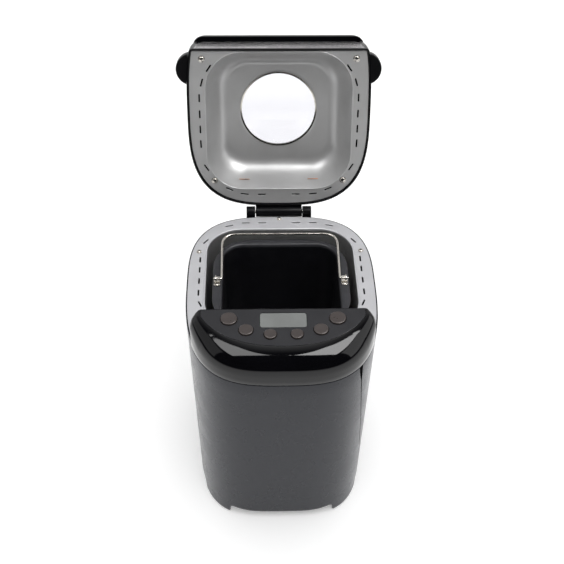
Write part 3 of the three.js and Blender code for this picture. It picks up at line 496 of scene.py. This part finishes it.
def cut(piece, cutter):
    """Cuts a gathered shape out of a finished piece."""
    mesh = bpy.data.meshes.new("cutter")
    mesh.from_pydata([tuple(TO_WORLD @ v) for v in cutter.verts], [], cutter.faces)
    tool = add_object("cutter", mesh)
    modifier = piece.modifiers.new("cut", "BOOLEAN")
    modifier.operation = "DIFFERENCE"
    modifier.solver = "EXACT"
    modifier.object = tool
    graph = bpy.context.evaluated_depsgraph_get()
    result = bpy.data.meshes.new_from_object(piece.evaluated_get(graph))
    piece.modifiers.clear()
    old = piece.data
    result.name = old.name
    piece.data = result
    bpy.data.meshes.remove(old)
    bpy.data.objects.remove(tool)
    bpy.data.meshes.remove(mesh)
    result.set_sharp_from_angle(angle=math.radians(32))


def base_pan():
    base = Shape()
    outline = oval(even_turns(200), 102.6, 111.0, 140.0, 3.35)
    vents = [rounded(i * 16 - 2.5, i * 16 + 2.5, 40, 84, 2.4, 5, 2) for i in range(-2, 3)]
    base.plate([outline, *vents], -266, -263, 0.5)
    for x in (-40, 40):
        base.plate([rounded(x - 1, x + 1, -90, 30, 0.9, 4, 2)], -268.5, -265.8, 0.4)
    base.build("base_pan", SATIN, "base", ["base_plate"], "satin_black")


def foot_pads():
    for end, y in (("front", -104), ("rear", 80)):
        for hand, x in (("left", -72), ("right", 72)):
            pad = Shape()
            pad.lathe([(0, -282), (4, -282), (4.6, -282.9), (7.4, -283), (8.6, -282.8), (9, -282.2),
                       (9.3, -276), (9.8, -267), (9.4, -266.5), (0, -266.5)], 36, moved(x, y, 0))
            pad.build(f"foot_pad_{end}_{hand}", RUBBER, "base", [f"foot_{end}_{hand}"], "rubber")


def inlet_gland():
    inlet = Shape()
    back = moved(0, 117.3, -239) @ turned(-90, "X")
    block = rounded(-15.6, 15.6, -6.6, 6.6, 3, 6, 2)
    inlet.plate([block, circle(0, 0, 4.6, count=32)], -7.5, 0, 0.6, matrix=back)
    collar = [(4.6, -7), (6.4, -7), (6.8, -0.6), (6.6, 0.15), (5.2, 0.15), (4.7, -0.4), (4.6, -7)]
    inlet.lathe(collar, 32, back)
    inlet.build("inlet_gland", SATIN, "base", ["power_inlet"], "satin_black")


# ---------------------------------------- rim plate and chamber
RIM_SLOTS = [(x, 108.9, 0) for x in (-43, -21.8, 21.8, 43)]
RIM_SLOTS += [(-63.5, 103.3, 16), (63.5, 103.3, -16), (-92.3, 73.2, 55), (92.3, 73.2, -55)]
RIM_SLOTS += [(side * 98.2, y, 90) for side in (-1, 1) for y in (39, 20.6, 0.7, -19.7)]
RIM_SLOTS += [(-95.9, -38.6, -68), (95.9, -38.6, 68)]
RIM_SCREWS = [(0, 115.7), (-100.1, 53.2), (100.1, 53.2)]


def opening(grow=0.0):
    return rounded(-90 - grow, 90 + grow, -78 - grow, 94 + grow, 42 + grow)


def rim_sheet():
    rim = Shape()
    holes = [slot_outline(*slot) for slot in RIM_SLOTS]
    holes += [circle(x, y, 1.9, count=16) for x, y in RIM_SCREWS]
    rim.plate([cut_oval(1.75, -96.6, 0.6, False), opening(2.6), *holes], -1.5, 0.0, 0.22)
    beads = [(3.0, -1.4), (3.0, -0.15), (2.7, 0.45), (2.2, 0.7), (1.75, 0.5), (1.5, 0.35), (1.2, 0.6),
             (0.75, 1.1), (0.3, 1.2), (0.05, 0.8), (0.0, 0.2), (0.0, -1.4), (1.2, -1.6)]
    rim.loft([ring(opening(grow), z) for grow, z in beads][::-1], closed=True)
    rim.build("rim_sheet", SILVER, "base", ["rim_plate"], "silver_sheet", angle=50)


def screw(name, matrix, body, replaces, to, radius):
    """A washer-faced screw. Its cross recess is not cut: a thin satin-black cross laid on the head stands in
    for the recess's shade, a painted shade.
    """
    shape = Shape()
    shape.lathe([(0, 0.25), (radius * 0.9, 0.25), (radius, 0.45), (radius, 0.8), (radius * 0.86, 1.05),
                 (radius * 0.8, 1.0), (radius * 0.78, 1.3), (radius * 0.66, 1.75), (radius * 0.45, 2.05),
                 (radius * 0.2, 2.18), (0, 2.2)], 40, matrix)
    shape.build(name, STEEL, body, [replaces], "bright_steel", to=to, angle=50)
    # Painted shade: a flat black cross on the head in place of a cut cross recess.
    cross = Shape()
    bar = rounded(-radius * 0.46, radius * 0.46, -0.36, 0.36, 0.3, 3, 2)
    for angle in (18, 108):
        cross.plate([bar], 1.95, 2.22, 0.05, 1, matrix=matrix @ turned(angle, "Z"))
    cross.build(name + "_recess_painted_shade", SATIN, body, slot="bright_steel", to=to)


def rim_screws():
    for index, (x, y) in enumerate(RIM_SCREWS, 1):
        screw(f"rim_fixing_{index}", moved(x, y, 0), "base", f"rim_screw_{index}", TO_WORLD, 3.3)


def chamber_ring(grow, z, radius):
    return ring(rounded(-90 - grow, 90 + grow, -78 - grow, 94 + grow, radius), z)


def chamber_tin():
    walls = []
    for z in (-1.8, -4, -20, -40, -80, -120, -150, -164):
        sink = max(0.0, (-z - 40) / 137.2) * 5
        walls.append((1.6 - sink, z, 43.6 - sink * 1.6))
    outer = [chamber_ring(-40, -177.2, 12), chamber_ring(-10, -177.2, 30), chamber_ring(-5, -174.5, 33)]
    outer += [chamber_ring(grow, z, radius) for grow, z, radius in reversed(walls)]
    inner = [chamber_ring(grow - 1.2, z, radius - 1.2) for grow, z, radius in walls]
    inner += [chamber_ring(-5.2, -171, 34), chamber_ring(-7.5, -174.6, 32), chamber_ring(-11, -176, 29)]
    inner += [chamber_ring(-40, -176, 12)]
    tin = Shape().loft(outer + inner, low=True, high=True)
    tin.build("chamber_tin", CHAMBER, "base", ["chamber"], "chamber_sheet", angle=50)


def heater_tube():
    loop = [(x, y, -156) for x, y in rounded(-76, 76, -64, 79, 34, 12, 12)]
    kept = [p for p in loop if not (p[1] < -63.9 and abs(p[0]) < 16)]
    start = max(range(len(kept)), key=lambda i: math.dist(kept[i], kept[i - 1]))
    heat = Shape().tube(kept[start:] + kept[:start], 3.1, 14)
    heat.build("heater_tube", CHAMBER, "base", ["heater"], "bright_steel")


# ---------------------------------------- control cap
CAP_CENTRE = np.array([0.0, -106.0])
CAP_SPOKES = 900
DISPLAY = rounded(-25.8, 25.8, -108.5, -89.1, 3, 8, 6)
BUTTONS = [("outer", 60.3, -97.2, 18.4, 16.6), ("middle", 41.3, -112.2, 16.2, 14.6),
           ("inner", 14.7, -118.1, 14.0, 12.9)]


def panel_height(y):
    return 35 - (-82.5 - y) * math.tan(math.radians(8.5))


def on_panel(x, y):
    return panel_height(y)


def panel_outline(inset):
    """The crescent panel: a straight rear edge and a full oval front."""
    points = []
    for i in range(361):
        turn = math.pi + math.pi * i / 360
        x = (100 - inset) * math.copysign(abs(math.cos(turn)) ** (2 / 2.2), math.cos(turn))
        y = -60 - (73.6 - inset) * abs(math.sin(turn)) ** (2 / 2.2)
        points.append((max(-92 + inset, min(92 - inset, x)), y))
    rear = -83.7 - inset
    kept = [p for p in points if p[1] < rear - 0.3]
    return np.array([(kept[0][0], rear), *kept, (kept[-1][0], rear)])


def cap_skin():
    outer = spokes(cut_oval(0, -82.5, 14, True, 1600), CAP_CENTRE, CAP_SPOKES)
    edge = spokes(resample(panel_outline(0), 1600), CAP_CENTRE, CAP_SPOKES)
    inner = spokes(resample(panel_outline(3.2), 1600), CAP_CENTRE, CAP_SPOKES)
    tops = np.array([panel_height(y) for y in edge[:, 1]])
    inner_tops = np.array([panel_height(y) for y in inner[:, 1]])
    starts = tops - np.clip(np.linalg.norm(outer - edge, axis=1), 2, 25.4)
    foot = np.where(outer[:, 1] < -96.7, -9.6, 0.35)
    rows = [ring(grown(outer, -2.4), foot + 0.6), ring(grown(outer, -1.8), foot)]
    rows += [ring(grown(outer, -1.0), foot), ring(grown(outer, -0.3), foot + 0.35), ring(outer, foot + 1.1)]
    rows += [ring(outer, foot + 1.1 + (starts - foot - 1.1) * share) for share in (0.5, 1.0)]
    for step in range(1, 19):
        a = math.pi / 2 * step / 18
        plan = outer + (edge - outer) * (1 - math.cos(a)) * 0.985
        rows.append(ring(plan, starts + (tops - starts) * math.sin(a)))
    rows += [ring(edge, tops - 0.15), ring(edge, tops - 1.9)]
    rows += [ring(inner, inner_tops - 1.9), ring(inner, inner_tops - 2.6)]
    cap = Shape().loft(rows)
    cap.build("cap_skin", GLOSS, "base", ["control_cap"], "gloss_black", angle=38, weld=1e-4)


def control_panel():
    panel = Shape()
    openings = [grown(DISPLAY, 0.3)]
    for _, x, y, w, d in BUTTONS:
        openings += [circle(side * x, y, w / 2 + 0.5, d / 2 + 0.5, 64) for side in (-1, 1)]
    panel.plate([resample(panel_outline(0.25), 700), *openings], -1.6, 0.0, 0.3, height=on_panel)
    panel.build("panel_sheet", PANEL, "base", ["control_panel"], "satin_black", angle=40)
    lens = Shape().plate([DISPLAY], -2.4, -0.35, 0.35, height=on_panel)
    lens.build("display_pane", LCD, "base", ["display_lens"], "display", angle=40)


def keys():
    profile = [(1.5, -3.8), (1.5, -2.1), (0, -2.1), (0, 0.2), (0, 0.8), (-0.12, 1.15), (-0.4, 1.42),
               (-0.9, 1.58), (-1.6, 1.64), (-3, 1.66), (-5, 1.62)]
    for word, x, y, w, d in BUTTONS:
        for side, hand in SIDES:
            rows = []
            for grow, z in profile:
                plan = circle(side * x, y, w / 2 + grow, d / 2 + grow, 64)
                rows.append(ring(plan, np.array([panel_height(py) for py in plan[:, 1]]) + z))
            node = f"button_{hand}_{word}"
            key = Shape().loft(rows, low=True, high=True)
            key.build(f"key_{hand}_{word}", KEY, node, [node], "button", angle=60)


# ---------------------------------------- pan, bail and paddle
OVER_PAN = moved(0, PAN_CENTRE, 0)
PAN_FLOOR = -148


def pan_ring(grow, z, radius=None):
    t = max(0.0, (-z - 8) / 140)
    w, d = 70 + grow - 3 * t, 67.5 + grow - 3 * t
    corner = (24 + grow) if radius is None else radius
    return ring(rounded(-w, w, PAN_CENTRE - d, PAN_CENTRE + d, corner), z)


def flange_ring(grow, z):
    w, d = 82.5 + grow, 78 + grow
    return ring(rounded(-w, w, PAN_CENTRE - d, PAN_CENTRE + d, 50 + grow), z)


def pan():
    rim = Shape()
    rim.loft([flange_ring(-0.6, -9.4), flange_ring(0, -9.1), flange_ring(0, -8.3), flange_ring(-0.5, -8.05),
              flange_ring(-3, -8.05), pan_ring(6.5, -8.0), pan_ring(3.2, -8.1), pan_ring(1.4, -8.8),
              pan_ring(0.7, -10.2), pan_ring(0.2, -12)])
    rim.loft([pan_ring(1.5, -12), pan_ring(2.6, -10), pan_ring(5, -9.4), flange_ring(-0.6, -9.4)])
    rim.build("pan_rim", FLANGE, "pan_assembly", slot="non_stick", angle=60)

    inner = [pan_ring(0.2, -12)] + [pan_ring(0, z) for z in (-14, -50, -90, -120, -135)]
    inner += [pan_ring(-0.7, -141, 22), pan_ring(-2.8, -145.5, 20)]
    inner += [pan_ring(-6.5, PAN_FLOOR, 17), pan_ring(-30, PAN_FLOOR, 10)]
    outside = [pan_ring(-10, -149.3, 15), pan_ring(-3, -149.2, 21), pan_ring(0.6, -145, 24)]
    outside += [pan_ring(1.3, z) for z in (-138, -120, -60, -12)]
    well = Shape().loft(outside, low=True).loft(inner)
    well.loft([inner[-1], pan_ring(-58, PAN_FLOOR, 6)], high=True)
    well.build("pan_well", COATING, "pan_assembly", ["pan"], "non_stick", angle=50)

    foot = Shape()
    foot.lathe([(35.6, -149.7), (37.4, -149.7), (37.9, -150.1), (37.9, -173.2), (37.5, -173.8), (36, -173.8),
                (35.6, -173.2), (35.6, -149.7)], 72, OVER_PAN)
    foot.build("pan_base_ring", COATING, "pan_assembly", ["pan_foot"], "non_stick", angle=50)
    collar = Shape().lathe([(12, -148), (11.4, -146.6), (9.5, -146), (6.4, -146), (6.4, -148)], 40, OVER_PAN)
    collar.build("spindle_collar", STEEL, "pan_assembly", slot="bright_steel")


def bail_brackets():
    for side, hand in SIDES:
        clip = Shape()
        flip = OVER_PAN @ Matrix.Scale(side, 4, (1, 0, 0))
        clip.plate([rounded(73.2, 81.0, -8.2, 8.2, 2, 6, 2)], -7.7, -6.7, 0.3, matrix=flip)
        upright = flip @ moved(79.2, 0, -3.4) @ turned(-90, "Y")
        eye = [rounded(-4.0, 4.2, -4.4, 4.4, 4.0, 10, 2), circle(0, 0, 2.1, count=28)]
        clip.plate(eye, 0, 1.6, 0.3, matrix=upright)
        for spot in (-6, 6):
            rivet = [(0, -6.7), (1.6, -6.7), (1.5, -6.1), (0.9, -5.7), (0, -5.6)]
            clip.lathe(rivet, 20, flip @ moved(77, spot, 0))
        node = f"pan_bracket_{hand}"
        clip.build(f"bail_bracket_{hand}", STEEL, "pan_assembly", [node], "bright_steel")


def bend(start, corner, end, t):
    """A point on the curve from start to end that leans towards a corner."""
    return start * (1 - t) ** 2 + corner * 2 * t * (1 - t) + end * t ** 2


def rounded_path(corners, radii, steps):
    """A path through corners, each one turned on its own radius."""
    points = [Vector(corners[0])]
    for before, here, after, radius in zip(corners, corners[1:], corners[2:], radii):
        a, p, b = Vector(before), Vector(here), Vector(after)
        start, end = p + (a - p).normalized() * radius, p + (b - p).normalized() * radius
        points += [bend(start, p, end, step / steps) for step in range(steps + 1)]
    points.append(Vector(corners[-1]))
    return points


def bail():
    lean = math.radians(8.3)

    def on_bail(x, along):
        return (x, PAN_CENTRE + along * math.cos(lean), -3.4 + along * math.sin(lean))

    corners = [(-82, 0), (-71.5, 0), (-71.5, 71.3), (71.5, 71.3), (71.5, 0), (82, 0)]
    path = rounded_path([on_bail(x, along) for x, along in corners], [2.6, 18, 18, 2.6], 12)
    wire = Shape().tube(path, 1.5, 16)
    wire.build("bail_wire", STEEL, "bail", ["bail"], "bright_steel", angle=60)


def spindle():
    bar = Shape()
    profile = [(0, -159), (4.3, -159), (4.8, -158.5), (4.8, -127.2), (4.3, -126.2), (0, -126.2)]
    bar.lathe(profile, 36, OVER_PAN)
    bar.plate([rounded(-14, 14, -2.5, 2.5, 2, 6, 2)], -158.5, -154.5, 0.4, matrix=OVER_PAN)
    bar.build("spindle_bar", STEEL, "spindle", ["pan_spindle"], "bright_steel")


def paddle():
    blade = Shape()
    place = OVER_PAN @ moved(0, 0, 2.4) @ turned(24, "Z")
    blade.lathe([(5.3, -147), (9.6, -147), (10, -146.4), (9.2, -135), (8.1, -123.4), (7.4, -122.2),
                 (5.6, -122), (5.2, -123)], 40, place)
    blade.lathe([(0, -125), (5.2, -125), (5.6, -122), (0, -121.8)], 40, place)
    fin = [(4, 0), (34, 0)]
    for curve in ([(34, 0), (42, 4), (38, 16)], [(38, 16), (30, 30), (12, 34)]):
        fin += [tuple(bend(*np.array(curve), step / 5)) for step in range(1, 6)]
    fin += [(4, 29)]
    blade.plate([np.array(fin)], -2, 2, 1.2, 3, matrix=place @ moved(0, 0, -147) @ turned(90, "X"))
    blade.build("kneading_blade", COATING, "paddle", ["paddle"], "non_stick")


# ---------------------------------------- lid, built closed and swung open
LID_CENTRE = np.array([0.0, 18.0])
LID_FRONT, LIP_FRONT = -81.3, -87.5
SPOKES = 720
WINDOW = np.array([0.0, 4.8])
AT_WINDOW = moved(0, 4.8, 0)
ACROSS = Matrix(((0, 0, 1, 0), (1, 0, 0, 0), (0, 1, 0, 0), (0, 0, 0, 1)))
lid_plans = {}


def lid_ring(inset, cut_at, z, corner=4.0):
    key = (round(inset, 3), round(cut_at, 3), corner)
    if key not in lid_plans:
        lid_plans[key] = spokes(cut_oval(inset, cut_at, corner, False, 1400), LID_CENTRE, SPOKES)
    return ring(lid_plans[key], z)


def lean_in(z):
    """How far the dome's side has leant in at a height over the rim."""
    t = min(1.0, max(0.0, (z - 12) / 39.0))
    return 15 * (1 - math.sqrt(1 - t * t))


def window_ring(radius, z):
    return ring(spokes(circle(*WINDOW, radius, count=720), LID_CENTRE, SPOKES), z)


def lid_dome():
    rim = [(2.5, 2.9), (2.2, 1.25), (1.7, 1.0), (0.6, 1.0), (0.15, 1.2), (0, 1.7)]
    rows = [lid_ring(inset, LID_FRONT + inset, z) for inset, z in rim]
    rows += [lid_ring(lean_in(z), LID_FRONT, z) for z in (6, 12, 16, 20, 24, 28, 31, 34, 36.4)]
    lip = [(1.2, 37.0), (0.3, 37.25), (0.0, 37.9), (0.0, 40.0), (0.0, 43.0), (0.35, 45.5), (1.1, 47.7),
           (2.4, 49.4), (4.2, 50.5), (7, 51.0)]
    for inset, z in lip:
        side = lean_in(min(z, 50.1)) if inset < 4 else 11 + inset
        rows.append(lid_ring(side, LIP_FRONT + inset, z, 11.0))
    rows.append(lid_ring(42, LIP_FRONT + 26, 51.0, 16.0))
    rows += [window_ring(52.2, 51.0), window_ring(51.7, 50.7), window_ring(51.5, 49.2)]
    rows += [window_ring(49.6, 48.6), window_ring(49.6, 47.9)]
    rows += [lid_ring(24, LIP_FRONT + 14, 47.6, 14.0), lid_ring(12, LID_FRONT + 3.0, 40.0)]
    rows += [lid_ring(2.6, LID_FRONT + 2.6, 20.0)]
    dome = Shape().loft(rows, closed=True)
    dome.build("lid_skin", GLOSS, "lid", ["lid_dome"], "gloss_black", to=TO_LID, angle=42, weld=1e-4)


def barrel(count, start, turn, radius=6.9):
    """Points round the hinge, seen from the side."""
    angles = [math.radians(start + turn * i / (count - 1)) for i in range(count)]
    return [(HINGE_Y + radius * math.cos(a), HINGE_Z + radius * math.sin(a)) for a in angles]


def lid_arm():
    arm = barrel(48, -150, 240) + [(128.2, 12.5), (124.0, 18.5), (120.6, 19.4), (120.6, 5.6), (123.8, 4.2)]
    shape = Shape().plate([np.array(arm)], -29.7, 29.7, 0.7, 3, matrix=ACROSS)
    shape.build("lid_arm", DARK, "lid", slot="gloss_black", to=TO_LID, angle=40)


def hinge_knuckles():
    outline = barrel(33, 200, -200) + [(137.1, -14), (134.0, -23), (122.6, -25.8), (122.6, -5)]
    for side, hand in SIDES:
        low, high = sorted((side * 30.5, side * 41.7))
        eye = circle(HINGE_Y, HINGE_Z, 2.8, count=28)
        knuckle = Shape().plate([np.array(outline), eye], low, high, 0.6, 3, matrix=ACROSS)
        node = f"hinge_knuckle_{hand}"
        knuckle.build(f"knuckle_{hand}", DARK, "base", [node], "satin_black", angle=40)


DISH_OPEN = rounded(-90, 90, -76.6, 99, 46, 14, 8)
DISH_FLOOR = rounded(-62, 62, -52, 68, 26, 14, 8)
FLANGE_Z = 3.0
LID_SLOTS = []
for side, _ in SIDES:
    LID_SLOTS += [(side * 21.8, 14.8, 0), (side * 43.8, 15.4, side * -6), (side * 63, 22.2, side * -24),
                  (side * 91.4, 51.5, side * -58), (side * 97.5, 83.1, side * -88),
                  (side * 97.7, 102.1, side * -89), (side * 97.8, 121.7, 90), (side * 97.8, 142.1, side * 89),
                  (side * 94.4, 161.5, side * 74), (side * 85.4, 179.2, side * 56)]
LID_SCREWS = [(-93.6, 190.8), (93.6, 190.8), (-81.6, 34.5), (81.6, 34.5)]


def from_rear(distance):
    return 122 - distance


def dish_row(share, z, grow=0.0):
    return ring(grown(DISH_OPEN * (1 - share) + DISH_FLOOR * share, grow), z)


def dish_depth(share, top=37.0):
    return FLANGE_Z + (top - FLANGE_Z) * (1 - (1 - share) ** 2.2)


def around_window(radius, z):
    """A circle whose points face the dish floor's own points."""
    away = DISH_FLOOR - WINDOW
    away = away / np.linalg.norm(away, axis=1, keepdims=True)
    return ring(WINDOW + away * radius, z)


def lid_liner():
    liner = Shape()
    holes = [slot_outline(x, from_rear(s), angle) for x, s, angle in LID_SLOTS]
    holes += [circle(x, from_rear(s), 1.9, count=16) for x, s in LID_SCREWS]
    sheet = cut_oval(3.0, LID_FRONT + 3.0, 1.2, False)
    liner.plate([sheet, grown(DISH_OPEN, 0.9), *holes], FLANGE_Z, FLANGE_Z + 1.2, 0.2)
    bead = [(1.35, 4.2), (1.35, 2.95), (1.2, 2.6), (0.8, 2.35), (0.4, 2.4), (0.05, 2.75)]
    rows = [dish_row(0, z, grow) for grow, z in bead] + [dish_row(0.01, 3.5)]
    rows += [dish_row(share, dish_depth(share)) for share in np.linspace(0.03, 1.0, 26)]
    rows += [around_window(51, 37.0), around_window(48.9, 37.0), around_window(48.3, 36.6)]
    rows += [around_window(47.4, 36.6), around_window(46.6, 37.1), around_window(46.4, 38.2)]
    rows += [around_window(50, 38.2)]
    rows += [dish_row(share, dish_depth(share, 38.2), 1.0) for share in (1.0, 0.7, 0.4, 0.2, 0.05)]
    liner.loft([r[::-1] for r in rows], closed=True)
    liner.build("liner_sheet", LINER, "lid", ["lid_liner"], "silver_sheet", to=TO_LID, angle=48)


def liner_tabs():
    tabs = Shape()
    for side, _ in SIDES:
        spot = moved(side * 44.1, 92.4, 18.6) @ turned(64, "X")
        for lift in (-1.5, 1.5):
            tabs.plate([slot_outline(0, lift, 0, 13.5, 1.5)], -0.2, 0.5, 0.15, matrix=spot)
    tabs.build("liner_tabs", COPPER, "lid", slot="bright_steel", to=TO_LID)


def lid_screws():
    for index, (x, s) in enumerate(LID_SCREWS, 1):
        facing = moved(x, from_rear(s), FLANGE_Z) @ turned(180, "X")
        screw(f"lid_fixing_{index}", facing, "lid", f"lid_screw_{index}", TO_LID, 4.1)


def front_strip():
    outline = [(-103.4, 3.3), (103.4, 3.3)]
    shoulder = np.array([(101.6, 18), (100.2, 34.8), (91.0, 34.8)])
    outline += [tuple(bend(*shoulder, step / 16)) for step in range(1, 17)]
    outline += [(-x, z) for x, z in reversed(outline[2:])]
    front = moved(0, LID_FRONT + 1.4, 0) @ turned(90, "X")
    strip = Shape().plate([resample(np.array(outline), 400)], 0, 1.4, 0.4, 3, matrix=front)
    strip.build("front_strip", STRIP_WITH_PAINTED_LIGHT, "lid", ["lid_strip"], "silver_sheet", to=TO_LID, angle=40)


def window():
    rounds = [
        ("inner_window", GLASS, ["window_inner_pane"], "window",
         [(0, 38.5), (49.2, 38.5), (49.7, 38.8), (49.7, 40.5), (49.3, 40.9), (0, 40.9)]),
        ("outer_window", GLASS, ["window_outer_pane"], "window",
         [(0, 49.7), (50.9, 49.7), (51.2, 50.0), (51.2, 50.9), (50.4, 51.5), (0, 51.6)]),
        ("window_seal", RUBBER, ["window_gasket"], "rubber",
         [(46.9, 41.2), (49.8, 41.2), (49.8, 44.6), (47.6, 44.6), (46.9, 43.6), (46.9, 41.2)]),
        ("window_ring", STEEL, [], "bright_steel",
         [(47.0, 36.5), (46.3, 36.8), (46.5, 36.9), (48.6, 36.9), (48.6, 36.6), (48.2, 36.2), (47.0, 36.5)]),
    ]
    for name, finish, nodes, slot, profile in rounds:
        Shape().lathe(profile, 128, AT_WINDOW).build(name, finish, "lid", nodes, slot, to=TO_LID)


def side_grips():
    for side, hand in SIDES:
        turns = [math.radians(-90 + 3 * i) for i in range(61)]
        points = [(side * (106.4 + 19.6 * math.cos(a)), -52.4 + 19.6 * math.sin(a)) for a in turns]
        points += [(side * 105.2, -33.5), (side * 104.6, -52.4), (side * 103.6, -71.0)]
        grip = Shape().plate([np.array(points)], 14, 28, 1.6, 4)
        node = f"side_grip_{hand}"
        grip.build(f"grip_{hand}", DARK, "lid", [node], "gloss_black", to=TO_LID, angle=40)


# ---------------------------------------- finishes on the CAD's own pieces
CARRIED = {
    "temperature_probe": STEEL, "pan_socket": CHAMBER, "bearing_housing": CHAMBER, "chassis": CHAMBER,
    "motor": STEEL, "motor_shaft": STEEL, "drive_shaft": SATIN, "belt": RUBBER, "power_board": BOARD,
    "control_board": BOARD, "hinge_pin": STEEL,
}


def finish_carried_nodes():
    for name, finish in CARRIED.items():
        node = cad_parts[name]
        if not node.material_slots:
            node.data.materials.append(finish.material)
        for slot in node.material_slots:
            slot.material = finish.material


# ---------------------------------------- camera
ELEVATION, YAW, ROLL = math.radians(43.0), math.radians(1.88), math.radians(0.81)
DISTANCE, LENS, SENSOR = 1200.0, 63.780638, 36
TARGET = Vector((1.17, 0.0, -2.42))


def add_camera():
    level = math.cos(ELEVATION)
    ahead = Vector((math.sin(YAW) * level, math.cos(YAW) * level, -math.sin(ELEVATION)))
    right = Vector((math.cos(YAW), -math.sin(YAW), 0.0))
    up = right.cross(ahead)
    right, up = math.cos(ROLL) * right + math.sin(ROLL) * up, math.cos(ROLL) * up - math.sin(ROLL) * right
    data = bpy.data.cameras.new("camera")
    data.sensor_width, data.lens, data.clip_end = SENSOR, LENS, 100
    camera = add_object("camera", data)
    facing = Matrix((right, up, -ahead)).transposed().to_4x4()
    camera.matrix_world = Matrix.Translation(TO_WORLD @ (TARGET - DISTANCE * ahead)) @ facing
    bpy.context.scene.camera = camera


# ---------------------------------------- floor and light
def floor_finish():
    """Pale paper with a faint glow, painted light that lifts the shadow under the machine. In reflections and
    bounced light it loses its glow and darkens with distance from the machine, a painted falloff; seen
    straight from the camera it stays even.
    """
    paper = Finish("floor_paper_painted_glow_and_falloff", (0.86, 0.86, 0.86), 0.9)
    # White emission: the paper glows though it is no lamp, painted light.
    paper.shader.inputs["Emission Color"].default_value = (1, 1, 1, 1)
    paper.smudge(200, 0.03).grain(3, 0.01)
    far = paper.nodes.new("ShaderNodeVectorMath")
    far.operation = "LENGTH"
    paper.links.new(paper.where, far.inputs[0])
    mirrored = paper.nodes.new("ShaderNodeMath")
    mirrored.operation = "SUBTRACT"
    mirrored.inputs[0].default_value = 1.0
    paper.links.new(paper.nodes.new("ShaderNodeLightPath").outputs["Is Camera Ray"], mirrored.inputs[1])
    reach = paper.nodes.new("ShaderNodeMath")
    reach.operation = "MULTIPLY"
    paper.links.new(far.outputs["Value"], reach.inputs[0])
    paper.links.new(mirrored.outputs["Value"], reach.inputs[1])
    # Near the machine the paper glows and keeps its colour. Farther out, off-camera rays see it fade dark:
    # painted glow and painted reflection falloff.
    for socket, near, away in (("Emission Strength", 0.26, 0.02), ("Base Color", 0.86, 0.12)):
        painted_fade = paper.nodes.new("ShaderNodeMapRange")
        painted_fade.interpolation_type = "SMOOTHSTEP"
        painted_fade.inputs["From Min"].default_value = 0.8
        painted_fade.inputs["From Max"].default_value = 7.0
        painted_fade.inputs["To Min"].default_value = near
        painted_fade.inputs["To Max"].default_value = away
        paper.links.new(reach.outputs["Value"], painted_fade.inputs["Value"])
        paper.links.new(painted_fade.outputs["Result"], paper.shader.inputs[socket])
    return paper


def add_floor():
    sheet = Shape().plate([rounded(-9000, 9000, -9000, 9000, 800)], -303, -283.05, 4, 2)
    mesh = bpy.data.meshes.new("floor")
    mesh.from_pydata([tuple(TO_WORLD @ v) for v in sheet.verts], [], sheet.faces)
    mesh.materials.append(floor_finish().material)
    ground = add_object("floor", mesh)


def add_world():
    """A studio that is bright behind the object and dark in front, against a plain pale background."""
    world = bpy.data.worlds.new("studio")
    bpy.context.scene.world = world
    world.use_nodes = True
    nodes, links = world.node_tree.nodes, world.node_tree.links
    background = nodes["Background"]
    split = nodes.new("ShaderNodeSeparateXYZ")
    links.new(nodes.new("ShaderNodeTexCoord").outputs["Generated"], split.inputs["Vector"])
    fade = nodes.new("ShaderNodeMapRange")
    fade.interpolation_type = "SMOOTHSTEP"
    fade.inputs["From Min"].default_value = -0.1
    fade.inputs["From Max"].default_value = 0.75
    fade.inputs["To Min"].default_value = 0.012
    fade.inputs["To Max"].default_value = 0.8
    links.new(split.outputs["Y"], fade.inputs["Value"])
    links.new(fade.outputs["Result"], background.inputs["Strength"])
    background.inputs["Color"].default_value = (1, 1, 1, 1)
    plain = nodes.new("ShaderNodeBackground")
    plain.inputs["Color"].default_value = (0.95, 0.95, 0.95, 1)
    plain.inputs["Strength"].default_value = 1.0
    mix = nodes.new("ShaderNodeMixShader")
    links.new(nodes.new("ShaderNodeLightPath").outputs["Is Camera Ray"], mix.inputs["Fac"])
    links.new(background.outputs["Background"], mix.inputs[1])
    links.new(plain.outputs["Background"], mix.inputs[2])
    links.new(mix.outputs["Shader"], nodes["World Output"].inputs["Surface"])


def sun(name, direction, strength, angle):
    """A broad soft light that lights surfaces but shows in no reflection."""
    lamp = bpy.data.lights.new(name, "SUN")
    lamp.energy = strength
    lamp.angle = math.radians(angle)
    made = add_object(name, lamp)
    made.rotation_euler = Vector(direction).to_track_quat("Z", "Y").to_euler()
    made.visible_glossy = False


def softbox(name, place, aim, width, height, watts):
    """A rectangle of light, in metres, that shows only in reflections."""
    lamp = bpy.data.lights.new(name, "AREA")
    lamp.shape = "RECTANGLE"
    lamp.size, lamp.size_y, lamp.energy = width, height, watts
    made = add_object(name, lamp)
    made.location = place
    made.rotation_euler = (Vector(place) - Vector(aim)).to_track_quat("Z", "Y").to_euler()
    made.visible_camera = False
    made.visible_diffuse = False


# ---------------------------------------- the whole machine
for make in (outer_shell, base_pan, foot_pads, inlet_gland, rim_sheet, rim_screws, chamber_tin, heater_tube,
             cap_skin, control_panel, keys, pan, bail_brackets, bail, spindle, paddle, lid_dome, lid_arm,
             lid_liner, liner_tabs, lid_screws, front_strip, window, side_grips, hinge_knuckles,
             finish_carried_nodes, add_camera, add_floor, add_world):
    make()

sun("overhead", (0.05, -0.15, 1.0), 2.5, 70)
sun("front_fill", (0.2, -1.0, 0.9), 0.5, 60)
softbox("left_box", (-0.82, -0.55, 2.35), (0, -0.1, 0.3), 0.85, 1.4, 18)
softbox("right_box", (0.92, -0.5, 2.35), (0, -0.1, 0.3), 0.95, 1.45, 38)
softbox("left_panel", (-2.0, -0.2, 1.2), (0, 0.0, 0.4), 1.8, 1.6, 5)
softbox("right_panel", (2.0, -0.3, 1.2), (0, 0.0, 0.4), 1.8, 1.6, 11)
bpy.context.scene.view_settings.view_transform = "Standard"

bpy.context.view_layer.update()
